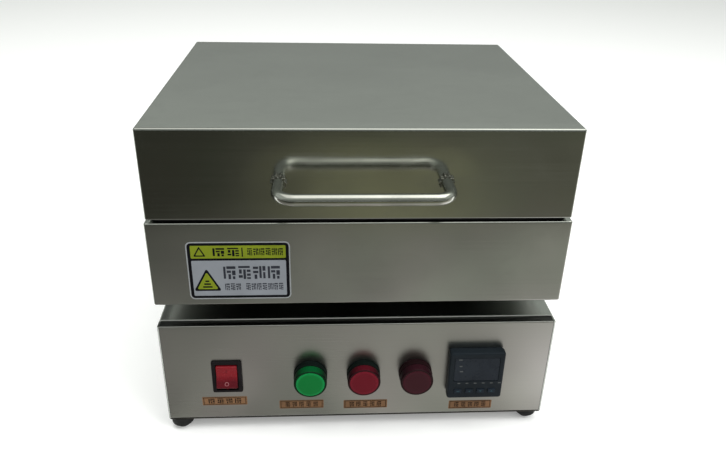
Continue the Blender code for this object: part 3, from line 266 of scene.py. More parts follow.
# Lens colours: middle and rim of the face, flanks in painted shade, and the top of the flank with a painted
# highlight.
LENS_TONES = {
    "green": ((0.000, 0.142, 0.026), (0.002, 0.220, 0.052), (0.000, 0.010, 0.003), (0.000, 0.080, 0.018)),
    "red": ((0.110, 0.003, 0.010), (0.150, 0.006, 0.016), (0.010, 0.001, 0.003), (0.075, 0.003, 0.009)),
    "alarm": ((0.036, 0.007, 0.011), (0.046, 0.007, 0.013), (0.010, 0.002, 0.004), (0.024, 0.004, 0.008)),
}
STEEL_TINT = (0.50, 0.515, 0.485)
COLLAR_MIDDLES = [centre_of(f"handle_collar_{side}") for side in SIDES]
FACE_SPAN, COLLAR_SPAN = (0.7, 0.02, 0.06), (0.03, 0.02, 0.03)
LID_DENTS = [((0, FRONT, COLLAR_MIDDLES[0].z + 5 * MM), FACE_SPAN, -0.9 * MM)]
LID_DENTS += [((place.x, FRONT, place.z), COLLAR_SPAN, -0.25 * MM) for place in COLLAR_MIDDLES]
BODY_DENTS = [((0, FRONT, (OVEN_LOW.z + OVEN_HIGH.z) / 2), FACE_SPAN, -0.5 * MM)]
PAINTS = {
    **{
        lamp: moulding(f"{lamp}_lens_plastic", centre_of(f"lamp_lens_{lamp}"), *LENS_RIM, 0.40, tones)
        for lamp, tones in LENS_TONES.items()
    },
    # The panel's up-facing top flange is darkened to 0.12 of its tone: painted shade.
    "panel": steel("brushed_panel_steel", (0.52, 0.525, 0.50), 0.30, 0.7, over=0.12),
    "shell": steel("brushed_lid_steel", STEEL_TINT, 0.14, 0.5, 0.06, LID_DENTS),
    # The body's downward faces are darkened to half: painted shade under the oven body.
    "body": steel("brushed_body_steel", STEEL_TINT, 0.17, 0.5, 0.06, BODY_DENTS, 0.5),
    "cover": steel("brushed_cover_steel", STEEL_TINT, 0.20, 0.3, cut_edge=True),
    # The bottom plate's dark tone stands for the shade under the base: painted shade.
    "base_plate": metal("base_plate_in_painted_shade", (0.10, 0.095, 0.085), 0.5),
    "liner": metal("chamber_steel", (0.46, 0.44, 0.41), 0.34, 300.0, (0.36, 0.31, 0.25)),
    "dull": metal("plain_steel", (0.42, 0.42, 0.41), 0.42),
    "bright": metal("polished_steel", (0.60, 0.61, 0.56), 0.17, 700.0, None, 0.004),
    "knurl": metal("dulled_collar_steel", (0.40, 0.40, 0.36), 0.3, 700.0, (0.14, 0.14, 0.12), 0.01, 900.0),
    "screw": metal("zinc_screws", (0.62, 0.61, 0.58), 0.3, 900.0),
    "brass": metal("nickel_pins", (0.66, 0.60, 0.46), 0.28),
    "plate": metal("milled_aluminium", (0.66, 0.66, 0.66), 0.36, (14.0, 900.0, 900.0), (0.58, 0.56, 0.52)),
    "sheath": metal("heater_sheath", (0.30, 0.27, 0.24), 0.5, 500.0, (0.20, 0.17, 0.16)),
    "rubber": plastic("foot_rubber", (0.018, 0.018, 0.018), 0.7, 500.0, 0.05, 0.3),
    "seal": plastic("silicone_seal", (0.012, 0.012, 0.013), 0.55, 400.0, 0.03, 0.25),
    # The dark plastics and the controller's pane and keys glow faintly white (last number): painted light.
    "black": plastic("black_nylon", (0.011, 0.009, 0.010), 0.45, 800.0, 0.02, 0.2, 0.12),
    "collar": plastic("lamp_collar_plastic", (0.003, 0.006, 0.005), 0.5, 800.0, 0.01, 0.2, 0.1),
    "maroon": plastic("maroon_collar_plastic", (0.010, 0.003, 0.004), 0.5, 800.0, 0.01, 0.2, 0.1),
    "meter": plastic("controller_plastic", (0.010, 0.014, 0.018), 0.45, 900.0, 0.02, 0.15, 0.12),
    "window": plastic("controller_pane", (0.016, 0.020, 0.026), 0.3, 300.0, 0.001, 0.2, 0.12),
    "key": plastic("controller_key_pad", (0.012, 0.018, 0.026), 0.45, 900.0, 0.02, 0.15, 0.12),
    "print": plastic("pale_print", (0.075, 0.08, 0.08), 0.5, 600.0, 0.002, 0.1),
    "teal_print": plastic("teal_print", (0.020, 0.048, 0.060), 0.5, 600.0, 0.002, 0.1),
    "green_edge": plastic("green_lens_rim", (0.001, 0.020, 0.006), 0.3, 500.0, 0.01, 0.10),
    "red_edge": plastic("red_lens_rim", (0.024, 0.003, 0.005), 0.3, 500.0, 0.01, 0.12),
    "alarm_edge": plastic("maroon_lens_rim", (0.016, 0.004, 0.005), 0.36, 500.0, 0.01, 0.14),
    "rocker": graded("red_rocker_plastic", *ROCKER_LIT_TONES, *ROCKER_HEIGHTS, 0.25),
    "rocker_print": plastic("rocker_print", (0.30, 0.11, 0.12), 0.4, 700.0, 0.002, 0.08),
    "rocker_bar": plastic("rocker_bar", (0.14, 0.005, 0.010), 0.3, 700.0, 0.002, 0.08),
    "ceramic": plastic("glazed_ceramic", (0.72, 0.68, 0.60), 0.45, 300.0, 0.02, 0.06),
    "fibre": plastic("ceramic_fibre_board", (0.74, 0.72, 0.67), 0.95, (260.0, 260.0, 90.0), 0.4, 0.08),
    "white": plastic("white_moulding", (0.70, 0.69, 0.64), 0.42, 700.0, 0.02, 0.06),
    "red_lead": plastic("red_lead_jacket", (0.36, 0.018, 0.014), 0.45, 400.0, 0.02, 0.12),
    "blue_lead": plastic("blue_lead_jacket", (0.014, 0.045, 0.28), 0.45, 400.0, 0.02, 0.12),
    "vinyl": plastic("label_vinyl", (0.25, 0.26, 0.27), 0.5, 700.0, 0.004, 0.06),
    # The label's ink glows faintly white: painted light.
    "label_ink": plastic("label_ink", (0.005, 0.005, 0.007), 0.6, 700.0, 0.003, 0.15, 0.06),
    "label_field": plastic("label_field", (0.208, 0.222, 0.247), 0.5, 700.0, 0.003, 0.06),
    "label_header": plastic("label_header", (0.168, 0.210, 0.003), 0.5, 700.0, 0.003, 0.08),
    "field_ink": plastic("field_ink", (0.022, 0.024, 0.034), 0.5, 700.0, 0.003, 0.15),
    "tag": plastic("tag_film", (0.190, 0.098, 0.046), 0.45, 500.0, 0.003, 0.14),
    # The tags' ink glows faintly white: painted light.
    "tag_ink": plastic("tag_ink", (0.016, 0.008, 0.005), 0.6, 500.0, 0.002, 0.14, 0.08),
}


# Mesh helpers. A shape is a bmesh, and each helper adds one closed piece to it.
def along(axis, a, b, c):
    """The point with across-coordinates a, b and c along the axis: X takes (y, z), Y takes (x, z)."""
    return {"X": (c, a, b), "Y": (a, c, b), "Z": (a, b, c)}[axis]


def loft(shape, rings, capped=True):
    """Closed skin over rings of equally many points; a ring of one point is an apex."""
    made = [[shape.verts.new(p) for p in ring] for ring in rings]
    count = max(len(ring) for ring in made)
    pairs = list(zip(made, made[1:]))
    if not capped:
        pairs.append((made[-1], made[0]))
    for low, high in pairs:
        for i in range(count):
            j = (i + 1) % count
            corners = [low[i % len(low)], low[j % len(low)], high[j % len(high)], high[i % len(high)]]
            face = list(dict.fromkeys(corners))
            if len(face) > 2:
                shape.faces.new(face)
    if capped:
        for ring in (made[0], made[-1]):
            if len(ring) > 2:
                shape.faces.new(ring)


def prism(shape, outline, axis, start, end):
    loft(shape, [[along(axis, a, b, c) for a, b in outline] for c in (start, end)])


def block(shape, x, y, z):
    prism(shape, [(x[0], y[0]), (x[1], y[0]), (x[1], y[1]), (x[0], y[1])], "Z", *z)


def turned(shape, profile, axis, centre, segments=48, ring=False, flutes=0, flute=0.0):
    """A turned piece from (radius, place) points.

    Flutes are shallow hollows round it, on the points that have a third value.
    """
    rings = []
    for radius, place, *marked in profile:
        if radius == 0:
            rings.append([along(axis, centre[0], centre[1], place)])
            continue
        points = []
        for i in range(segments):
            turn = 2 * math.pi * i / segments
            r = radius - (flute * (0.5 - 0.5 * math.cos(flutes * turn)) if marked else 0.0)
            points.append(along(axis, centre[0] + r * math.cos(turn), centre[1] + r * math.sin(turn), place))
        rings.append(points)
    loft(shape, rings, capped=not ring)


def new(add, *args, **settings):
    """A new shape with one piece added to it."""
    shape = bmesh.new()
    add(shape, *args, **settings)
    return shape


def rounded(centre, half, radius, steps=5):
    """Outline of a rectangle with round corners, as (a, b) points."""
    points = []
    for quarter, (side_a, side_b) in enumerate(((1, 1), (-1, 1), (-1, -1), (1, -1))):
        for step in range(steps + 1):
            t = math.pi / 2 * (quarter + step / steps)
            a = centre[0] + side_a * (half[0] - radius) + radius * math.cos(t)
            b = centre[1] + side_b * (half[1] - radius) + radius * math.sin(t)
            points.append((a, b))
    return points


def tile(shape, middle, half, corner, start, end, steps=5):
    """A block from start to end along Y, with round corners."""
    prism(shape, rounded(middle, half, corner, steps), "Y", start, end)


def stacked(middle, half, corner, ease, slices):
    """A rounded block along Y, drawn in at each slice (inset, y), its corners by a share of that."""
    rings = []
    for inset, y in slices:
        outline = rounded(middle, (half[0] - inset, half[1] - inset), corner - inset * ease)
        rings.append([along("Y", a, b, y) for a, b in outline])
    return new(loft, rings)


def quarter(steps):
    """(1 - sine, 1 - cosine) from the start of a quarter bend to its end."""
    turns = [math.pi / 2 * k / steps for k in range(steps + 1)]
    return [(1 - math.sin(t), 1 - math.cos(t)) for t in turns]


def folded(path, radius=FOLD):
    """Outline of a strip of sheet folded along a path that turns left, with the metal on its left."""
    outer, inner, steps = [], [], 6
    for i, (a, b) in enumerate(path):
        if i in (0, len(path) - 1):
            near = path[1] if i == 0 else path[-2]
            length = math.dist((a, b), near)
            way = 1 if i == 0 else -1
            da, db = way * (near[0] - a) / length, way * (near[1] - b) / length
            outer.append((a, b))
            inner.append((a - db * SHEET, b + da * SHEET))
            continue
        before, after = path[i - 1], path[i + 1]
        heading = math.atan2(b - before[1], a - before[0])
        turn = (math.atan2(after[1] - b, after[0] - a) - heading) % (2 * math.pi)
        setback = radius * math.tan(turn / 2)
        centre_a = a - setback * math.cos(heading) - radius * math.sin(heading)
        centre_b = b - setback * math.sin(heading) + radius * math.cos(heading)
        for step in range(steps + 1):
            t = heading + turn * step / steps
            outer.append((centre_a + radius * math.sin(t), centre_b - radius * math.cos(t)))
            small = radius - SHEET
            inner.append((centre_a + small * math.sin(t), centre_b - small * math.cos(t)))
    return outer + inner[::-1]


def add_object(name, data):
    obj = bpy.data.objects.new(name, data)
    bpy.context.scene.collection.objects.link(obj)
    return obj


def mesh_of(shape, name):
    """A mesh of the shape, which is used up."""
    mesh = bpy.data.meshes.new(name)
    shape.to_mesh(mesh)
    shape.free()
    return mesh


def helper_object(shape):
    bmesh.ops.recalc_face_normals(shape, faces=shape.faces)
    return add_object("helper", mesh_of(shape, "helper"))


def cut(shape, tool, operation="DIFFERENCE"):
    """A new shape: the tool cut from the shape, or joined to it with operation UNION."""
    whole, other = helper_object(shape), helper_object(tool)
    modifier = whole.modifiers.new("cut", "BOOLEAN")
    modifier.operation = operation
    modifier.solver = "EXACT"
    modifier.object = other
    result = bmesh.new()
    result.from_object(whole, bpy.context.evaluated_depsgraph_get())
    for obj in (whole, other):
        mesh = obj.data
        bpy.data.objects.remove(obj)
        bpy.data.meshes.remove(mesh)
    bmesh.ops.remove_doubles(result, verts=result.verts, dist=0.001 * MM)
    bmesh.ops.dissolve_limit(result, angle_limit=math.radians(0.3), verts=result.verts, edges=result.edges)
    return result


def soften(obj, edge):
    """Rounds edges by this width and keeps flat faces flat in the shading."""
    if edge:
        bevel = obj.modifiers.new("edges", "BEVEL")
        bevel.width = edge
        bevel.segments = 2
        bevel.limit_method = "ANGLE"
        bevel.angle_limit = math.radians(35)
        bevel.harden_normals = True
    weighted = obj.modifiers.new("shading", "WEIGHTED_NORMAL")
    weighted.keep_sharp = True


def piece(name, shape, paint, node=None, edge=0.0, sharp=40, body="base"):
    """Makes the shape a named piece that moves with a body and may stand for a CAD node."""
    bmesh.ops.recalc_face_normals(shape, faces=shape.faces)
    mesh = mesh_of(shape, name)
    mesh.materials.append(PAINTS[paint])
    mesh.shade_smooth()
    if not edge:
        mesh.set_sharp_from_angle(angle=math.radians(sharp))
    obj = add_object(name, mesh)
    soften(obj, edge)
    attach(obj, body)
    if node:
        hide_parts(node)


def dress(paint, edge, *nodes):
    """Gives CAD nodes a finish, and round edges where an edge width is given."""
    for node in nodes:
        obj = frame["nodes"][node]
        for place in obj.material_slots:
            place.material = PAINTS[paint]
        if edge:
            weld = obj.modifiers.new("weld", "WELD")
            weld.merge_threshold = 0.01 * MM
            soften(obj, edge)


def screw_head(radius, height, countersunk=False):
    """A mesh of one cross-slotted head on the plane z = 0, facing +Z."""
    if countersunk:
        profile = [(0, -height), (radius * 0.55, -height), (radius, -0.05 * MM), (radius * 0.96, 0), (0, 0)]
        slot_floor = -height / 2
    else:
        dome = [(radius * math.cos(t), height * (0.35 + 0.65 * math.sin(t))) for t in (0, 0.4, 0.8, 1.15)]
        profile = [(0, 0), (radius, 0), *dome, (0, height)]
        slot_floor = height / 2
    arm, half = radius * 0.55, radius * 0.13
    depth = (slot_floor, height + 1 * MM)
    long, cross = (new(block, (-a, a), (-b, b), depth) for a, b in ((arm, half), (half, arm)))
    head = new(turned, profile, "Z", (0, 0), 24)
    return mesh_of(cut(head, cut(long, cross, "UNION")), "screw_head")


FACING = {
    "+Z": Matrix.Identity(4),
    "-Z": Matrix.Rotation(math.pi, 4, "X"),
    "-Y": Matrix.Rotation(math.pi / 2, 4, "X"),
    "+Y": Matrix.Rotation(-math.pi / 2, 4, "X"),
    "+X": Matrix.Rotation(math.pi / 2, 4, "Y"),
    "-X": Matrix.Rotation(-math.pi / 2, 4, "Y"),
}


def screws(name, head, facing, places, body="base"):
    """One piece with a screw head at each place, each turned a little differently."""
    shape = bmesh.new()
    for i, place in enumerate(places):
        before = len(shape.verts)
        shape.from_mesh(head)
        shape.verts.ensure_lookup_table()
        spin = Matrix.Rotation(math.radians(17 + 47 * i), 4, "Z")
        move = Matrix.Translation(place) @ FACING[facing] @ spin
        bmesh.ops.transform(shape, matrix=move, verts=shape.verts[before:])
    piece(name, shape, "screw", sharp=30, body=body)


# Camera, light and floor.
def camera():
    data = bpy.data.cameras.new("camera")
    data.lens, data.sensor_width = 34.08, 36.0
    obj = add_object("camera", data)
    place = Vector((-0.0312, FRONT - 0.4797, LID_HIGH.z + 0.1649))
    yaw, pitch, roll = (math.radians(a) for a in (-3.81, 26.90, 1.39))
    turns = ((yaw, "Z"), (math.pi / 2 - pitch, "X"), (roll, "Z"))
    obj.matrix_world = Matrix.Translation(place)
    for angle, axis in turns:
        obj.matrix_world = obj.matrix_world @ Matrix.Rotation(angle, 4, axis)
    bpy.context.scene.camera = obj


def softbox(name, place, target, size, power):
    """Soft light that the metal does not mirror."""
    data = bpy.data.lights.new(name, "AREA")
    data.shape = "RECTANGLE"
    data.size, data.size_y = size
    data.energy = power
    obj = add_object(name, data)
    obj.visible_glossy = False
    way = Vector(target) - Vector(place)
    obj.matrix_world = Matrix.Translation(place) @ way.to_track_quat("-Z", "Y").to_matrix().to_4x4()


def stage_plane(name, corners, material, mirrored_only=True):
    mesh = bpy.data.meshes.new(name)
    mesh.from_pydata(corners, [], [(0, 1, 2, 3)])
    mesh.materials.append(material)
    obj = add_object(name, mesh)
    if mirrored_only:
        obj.visible_camera = obj.visible_diffuse = obj.visible_shadow = False
        obj.visible_transmission = obj.visible_volume_scatter = False


def lying(x, y, z):
    return [(x[0], y[0], z), (x[1], y[0], z), (x[1], y[1], z), (x[0], y[1], z)]


def standing(x, y, z):
    return [(x[0], y, z[0]), (x[1], y, z[0]), (x[1], y, z[1]), (x[0], y, z[1])]


def glowing(graph, colour, strength):
    glow = graph.node("ShaderNodeEmission", {"Color": colour, "Strength": strength})
    output = graph.tree.nodes["Material Output"]
    graph.tree.links.new(glow.outputs[0], output.inputs["Surface"])
    graph.material.cycles.emission_sampling = "NONE"
    return graph.material


# Bench tones as (metres ahead of the front, colour); bright spots as (x, metres ahead, half sizes, colour).
BENCH_TONES = (
    (0.0, (0.42, 0.405, 0.385)),
    (0.14, (0.41, 0.40, 0.38)),
    (0.24, (0.31, 0.31, 0.285)),
    (0.38, (0.225, 0.225, 0.200)),
    (0.44, (0.130, 0.130, 0.108)),
    (0.50, (0.105, 0.105, 0.082)),
    (0.80, (0.082, 0.085, 0.064)),
    (1.0, (0.072, 0.075, 0.060)),
)
BENCH_LIGHTS = (
    (0.27, 0.05, 0.15, 0.17, (0.56, 0.55, 0.58)),
    (-0.02, 0.07, 0.12, 0.14, (-0.15, -0.15, -0.15)),
    (0.0, 0.30, 0.14, 0.10, (-0.05, -0.05, -0.045)),
    (0.06, 0.54, 0.26, 0.20, (0.155, 0.152, 0.075)),
)


def bench_card():
    """What the front faces mirror: a bench that is light close to the oven, dark further off and cloudy."""
    graph = Graph("bench_card", {})
    across, back, _ = graph.parts()
    ramp = graph.node("ShaderNodeValToRGB", {0: graph.remap(back, 0.0, 1.0, FRONT, FRONT - 1.0)})
    for _ in range(len(BENCH_TONES) - 2):
        ramp.color_ramp.elements.new(0.5)
    for element, (position, colour) in zip(ramp.color_ramp.elements, BENCH_TONES):
        element.position = position
        element.color = (*colour, 1.0)
    cloud = graph.remap(graph.noise((9.0, 13.0, 1.0), 2.0, 0.8), 0.74, 1.26)
    drift = graph.remap(graph.noise(11.0, 1.0, 0.4), 0.0, 1.0)
    hue = graph.between(drift, (0.97, 1.03, 0.95, 1.0), (1.05, 0.98, 1.0, 1.0))
    colour = graph.blended("MULTIPLY", ramp.outputs[0], hue)
    colour = graph.blended("MULTIPLY", colour, graph.remap(across, 0.42, 1.30, -0.32, 0.30))
    for x, distance, size_x, size_y, tint in BENCH_LIGHTS:
        share = graph.closeness((x, FRONT - distance, 0.5 * MM), (size_x, size_y, 1.0))
        extra = graph.between(share, (0.0, 0.0, 0.0, 1.0), (*tint, 1.0))
        colour = graph.blended("ADD", colour, extra)
    return glowing(graph, colour, cloud)


def sky_card():
    """The light overhead as the folds and the handle mirror it: dimmer on the left."""
    graph = Graph("sky_card", {})
    return glowing(graph, (1.0, 1.0, 0.95, 1.0), graph.remap(graph.parts()[0], 1.0, 2.0, -0.5, 0.6))


def room_card():
    """The dim room ahead of the front, lighter towards its ceiling."""
    graph = Graph("room_card", {})
    return glowing(graph, (0.94, 1.0, 0.93, 1.0), graph.remap(graph.parts()[2], 0.13, 0.32, 0.3, 3.0))


def studio():
    scene = bpy.context.scene
    scene.view_settings.view_transform = "Standard"
    world = bpy.data.worlds.new("studio")
    world.use_nodes = True
    tree = world.node_tree
    place = tree.nodes.new("ShaderNodeTexCoord")
    split = tree.nodes.new("ShaderNodeSeparateXYZ")
    ramp = tree.nodes.new("ShaderNodeValToRGB")
    tree.links.new(place.outputs["Generated"], split.inputs[0])
    tree.links.new(split.outputs[2], ramp.inputs[0])
    ramp.color_ramp.elements.new(0.5)
    sky_levels = ((0.10, 0.24), (0.36, 0.48), (0.7, 0.42))
    for element, (position, level) in zip(ramp.color_ramp.elements, sky_levels):
        element.position = position
        element.color = (level * 0.94, level, level * 0.93, 1.0)
    tree.links.new(ramp.outputs[0], tree.nodes["Background"].inputs["Color"])
    scene.world = world
    softbox("key", (1.1, -0.9, 1.6), (0, 0, 0.1), (1.2, 1.2), 26)
    softbox("overhead", (-0.2, 0.1, 2.2), (0, 0, 0), (2.4, 2.0), 44)
    floor = plastic("pale_floor", (0.84, 0.84, 0.835), 0.8, 60.0, 0.01, 0.01, 0.2, 0.24)
    cloth = plastic("black_cloth", (0.02, 0.02, 0.022), 0.9, 300.0, 0.1)
    stage_plane("floor", lying((-8, 8), (-8, 8), 0), floor, mirrored_only=False)
    stage_plane("bench_card", lying((-4, 4), (-5, FRONT - 3 * MM), 0.5 * MM), bench_card())
    stage_plane("sky_card", lying((-1.2, 1.8), (-1.1, 0.7), 1.9), sky_card())
    stage_plane("room_card", standing((-6, 6), -3.5, (0.3, 3.4)), room_card())
    stage_plane("dark_flag", standing((-3.0, -0.5), 2.4, (1.6, 3.0)), cloth)


# Sheet-metal boxes.
def level(shape_rings, centre, half, inset, z, corner):
    """Adds the ring of a rounded rectangle drawn in by the inset."""
    size = (half[0] - inset, half[1] - inset)
    shape_rings.append([(a, b, z) for a, b in rounded(centre, size, max(corner - inset, 0.3 * MM))])


def outer_pan(half, closed_z, rim_z):
    """A pressed pan closed at closed_z, whose open side at rim_z has a rim folded inwards."""
    inward = 1 if rim_z > closed_z else -1
    rings = []
    around = ((0, MID_Y), (half, HALF_DEPTH))
    small, rim_width, rim_fold = FOLD - SHEET, 14 * MM, 1.4 * MM
    for sine, cosine in quarter(5):
        level(rings, *around, FOLD * sine, closed_z + inward * FOLD * cosine, FOLD)
    for sine, cosine in quarter(5):
        level(rings, *around, rim_fold * cosine, rim_z - inward * rim_fold * sine, FOLD)
    level(rings, *around, rim_width, rim_z, FOLD)
    level(rings, *around, rim_width, rim_z - inward * SHEET, FOLD)
    for sine, cosine in quarter(3):
        level(rings, *around, SHEET + small * sine, rim_z - inward * (SHEET + small * cosine), FOLD)
    for sine, cosine in quarter(3):
        level(rings, *around, SHEET + small * cosine, closed_z + inward * (SHEET + small * sine), FOLD)
    return new(loft, rings)


def inner_pan(node):
    """The chamber's pressed pan, with its brim folded outwards."""
    low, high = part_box(node)
    floor_z, brim_z = (low.z, high.z) if node == "oven_liner" else (high.z, low.z)
    inward = 1 if brim_z > floor_z else -1
    brim, gauge, press, mouth, corner = 16 * MM, 1 * MM, 4 * MM, 1.5 * MM, 7 * MM
    around = ((0, MID_Y), (high.x - brim, (high.y - low.y) / 2 - brim))
    rings = []
    for sine, cosine in quarter(5):
        level(rings, *around, press * sine, floor_z + inward * press * cosine, corner)
    level(rings, *around, 0, brim_z - inward * gauge, corner)
    level(rings, *around, -brim, brim_z - inward * gauge, corner - brim + 2 * MM)
    level(rings, *around, -brim, brim_z, corner - brim + 2 * MM)
    for sine, cosine in quarter(4):
        level(rings, *around, gauge - mouth * sine, brim_z - inward * mouth * cosine, corner)
    for sine, cosine in quarter(5):
        depth = gauge + (press - gauge) * sine
        level(rings, *around, gauge + (press - gauge) * cosine, floor_z + inward * depth, corner)
    return new(loft, rings)


def feed_hole():
    """Middle and radius of the hole for the wires."""
    low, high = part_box("wire_conduit")
    return ((low.x + high.x) / 2, (low.y + high.y) / 2), (high.x - low.x) / 2 - 3 * MM


def heated_boxes():
    studs = bmesh.new()
    for side in SIDES:
        middle = front_view(f"handle_collar_{side}")[2]
        turned(studs, [(2.8 * MM, FRONT - SHEET), (2.8 * MM, FRONT + 3 * SHEET)], "Y", middle, 24)
    lid = cut(outer_pan(LID_HIGH.x, LID_HIGH.z, LID_LOW.z), studs)
    piece("lid_outer_pan", lid, "shell", "lid_shell", body="lid")
    piece("lid_inner_pan", inner_pan("lid_liner"), "liner", "lid_liner", body="lid")
    centre, radius = feed_hole()
    bore = [(radius + TOUCH, OVEN_LOW.z - FOLD), (radius + TOUCH, OVEN_HIGH.z - 20 * MM)]
    for node, shape, paint, slot in (
        ("oven_shell", outer_pan(OVEN_HIGH.x, OVEN_LOW.z, OVEN_HIGH.z), "body", "brushed_steel"),
        ("oven_liner", inner_pan("oven_liner"), "liner", "dull_steel"),
    ):
        bored = cut(shape, new(turned, bore, "Z", centre, 32))
        piece(f"{node}_pan", bored, paint, node)


def panel_sheet():
    """The front panel, with openings for the switch, the lamps and the controller."""
    z_low, z_high, lip = PANEL_LOW.z, PANEL_HIGH.z, 12 * MM
    path = [(PANEL_HIGH.y, z_high), (FRONT, z_high), (FRONT, z_low), (FRONT + lip, z_low)]
    panel = new(prism, folded(path, 1.3 * MM), "X", PANEL_LOW.x, PANEL_HIGH.x)
    holes = bmesh.new()
    through = (FRONT - SHEET, FRONT + 3 * SHEET)
    for node, half_x, half_z in (("switch_housing", 11.3, 15.3), ("controller_case", 22.6, 22.6)):
        x, z = front_view(node)[2]
        x_span, z_span = ((v - half * MM, v + half * MM) for v, half in ((x, half_x), (z, half_z)))
        block(holes, x_span, through, z_span)
    for name in LAMPS:
        turned(holes, [(11.2 * MM, y) for y in through], "Y", front_view(f"lamp_nut_{name}")[2], 40)
    piece("front_panel_sheet", cut(panel, holes), "panel", "front_panel", 0.12 * MM)


def side_screws():
    """Places of the screws in the cover's sides."""
    front, rear = FRONT + 25 * MM, REAR - 25 * MM
    rows = ((front, 12 * MM), (rear, 12 * MM), (rear, 80 * MM))
    return [(side * COVER_HIGH.x, y, COVER_LOW.z + rise) for side in (-1, 1) for y, rise in rows]


def cover_sheet():
    """The control box's top and sides, set back over the front panel's upper fold."""
    half = COVER_HIGH.x
    path = [(half, COVER_LOW.z), (half, COVER_HIGH.z), (-half, COVER_HIGH.z), (-half, COVER_LOW.z)]
    cover = new(prism, folded(path), "Y", FRONT, REAR)
    cuts = new(block, (-1, 1), (FRONT - FOLD, FRONT + 8 * MM), (PANEL_HIGH.z, COVER_HIGH.z + FOLD))
    centre, radius = feed_hole()
    turned(cuts, [(radius, COVER_HIGH.z - 3 * SHEET), (radius, COVER_HIGH.z + SHEET)], "Z", centre, 32)
    for x, y, z in side_screws():
        way = math.copysign(1, x)
        sink = [(2.1 * MM, x - way * 2 * SHEET), (2.1 * MM, x - way * SHEET), (3.7 * MM, x + way * 0.4 * MM)]
        turned(cuts, sink, "X", (y, z), 24)
    piece("control_cover_sheet", cut(cover, cuts), "cover", "control_cover", 0.15 * MM)


def lid_seal():
    low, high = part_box("seal_gasket")
    half = ((high.x - low.x) / 2, (high.y - low.y) / 2)
    width, lip = 8 * MM, 0.9 * MM
    rings = []
    for inset, z in (
        (0, low.z + lip), (0, high.z - lip), (lip / 2, high.z - lip / 3), (lip, high.z),
        (width - lip, high.z), (width - lip / 2, high.z - lip / 3), (width, high.z - lip),
        (width, low.z + lip), (width - lip, low.z), (lip, low.z),
    ):
        level(rings, (0, MID_Y), half, inset, z, 9 * MM)
    piece("lid_seal", new(loft, rings, capped=False), "seal", "seal_gasket")


def heated_plate():
    low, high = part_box("hot_plate")
    middle_y = (low.y + high.y) / 2
    outline = rounded((0, middle_y), (high.x, (high.y - low.y) / 2), 6 * MM)
    places = [(x * 125 * MM, middle_y + y * 98 * MM) for x in (-1, 0, 1) for y in (-1, 1)]
    sink = [(2.2 * MM, high.z - 4 * MM), (4.4 * MM, high.z - 1.8 * MM), (4.4 * MM, high.z + 1 * MM)]
    sinks = bmesh.new()
    for place in places:
        turned(sinks, sink, "Z", place, 24)
    plate = cut(new(prism, outline, "Z", low.z, high.z), sinks)
    piece("heated_plate", plate, "plate", "hot_plate", 0.6 * MM)
    head = screw_head(4.1 * MM, 1.9 * MM, True)
    screws("heated_plate_screws", head, "+Z", [(*place, high.z - 0.3 * MM) for place in places])


# Handle.
def handle_path(half, shoulder, bar_y, bend):
    """Middle line of the rod, from one shoulder round both bends to the other, as (x, y)."""
    steps = 14
    points = [(-half, shoulder)]
    for corner, first in ((-half + bend, math.pi), (half - bend, 1.5 * math.pi)):
        for i in range(steps + 1):
            t = first + math.pi / 2 * i / steps
            points.append((corner + bend * math.cos(t), bar_y + bend + bend * math.sin(t)))
    return points + [(half, shoulder)]


def handle():
    low, high, (_, z), (_, radius) = front_view("handle")
    collar_low, collar_high, (collar_x, _), _ = front_view("handle_collar_left")
    half, shoulder, sides = -collar_x, collar_low.y - TOUCH, 40
    points = handle_path(half, shoulder, low.y + radius, 13.5 * MM)
    rings = []
    for i, (x, y) in enumerate(points):
        before, after = points[max(i - 1, 0)], points[min(i + 1, len(points) - 1)]
        heading = math.atan2(after[1] - before[1], after[0] - before[0])
        side, up = Vector((-math.sin(heading), math.cos(heading), 0)), Vector((0, 0, 1))
        turns = [2 * math.pi * k / sides for k in range(sides)]
        rings.append([Vector((x, y, z)) + radius * (math.cos(t) * side + math.sin(t) * up) for t in turns])
    studs = bmesh.new()
    for x in (-half, half):
        turned(studs, [(2.5 * MM, shoulder - 3 * MM), (2.5 * MM, high.y)], "Y", (x, z), 24)
    rod = cut(new(loft, rings), studs, "UNION")
    piece("handle_rod", rod, "bright", "handle", sharp=50, body="lid")
    start, end, teeth = collar_low.y, collar_high.y, 10
    edge, tooth, outer, inner = 0.5 * MM, 1.5 * MM, 6.4 * MM, 2.8 * MM
    profile = [
        (inner, start), (4.6 * MM, start), (outer - edge, start, 1), (outer, start + edge, 1),
        (outer, end - edge, 1), (outer - edge, end, 1), (inner, end),
    ]
    for side, x in zip(SIDES, (-half, half)):
        collar = new(turned, profile, "Y", (x, z), teeth * 8, True, teeth, tooth)
        name = f"handle_collar_{side}"
        piece(f"{name}_knurled", collar, "knurl", name, body="lid")


# Controls. The groove's points are millimetres in from the collar's edge and ahead of the panel.
GROOVE = ((0, 1.6), (0.5, 2.0), (0.5, 2.4), (0.1, 2.8))
LENS_SLOTS = {"green": "green_lens", "red": "red_lens", "alarm": "dark_red_lens"}


def lamp_collar(name):
    """The lamp's body: a stem through the panel and a grooved collar on it."""
    low, high, middle, (outer, _) = front_view(f"lamp_body_{name}")
    stem, seat, face = 10.9 * MM, FRONT - TOUCH, low.y
    profile = [(0, high.y), (stem - 0.6 * MM, high.y), (stem, high.y - 0.6 * MM), (stem, seat)]
    profile += [(outer - 0.4 * MM, seat), (outer, seat - 0.4 * MM)]
    profile += [(outer - inset * MM, FRONT - ahead * MM) for inset, ahead in GROOVE]
    profile += [(outer - inset * MM, face + back * MM) for inset, back in ((0.1, 1.0), (0.4, 0.4), (1.1, 0))]
    paint, slot = ("maroon", "dark_red_lens") if name == "alarm" else ("collar", "black_plastic")
    shape = new(turned, [*profile, (0, face)], "Y", middle, 72)
    piece(f"lamp_collar_{name}", shape, paint, f"lamp_body_{name}")


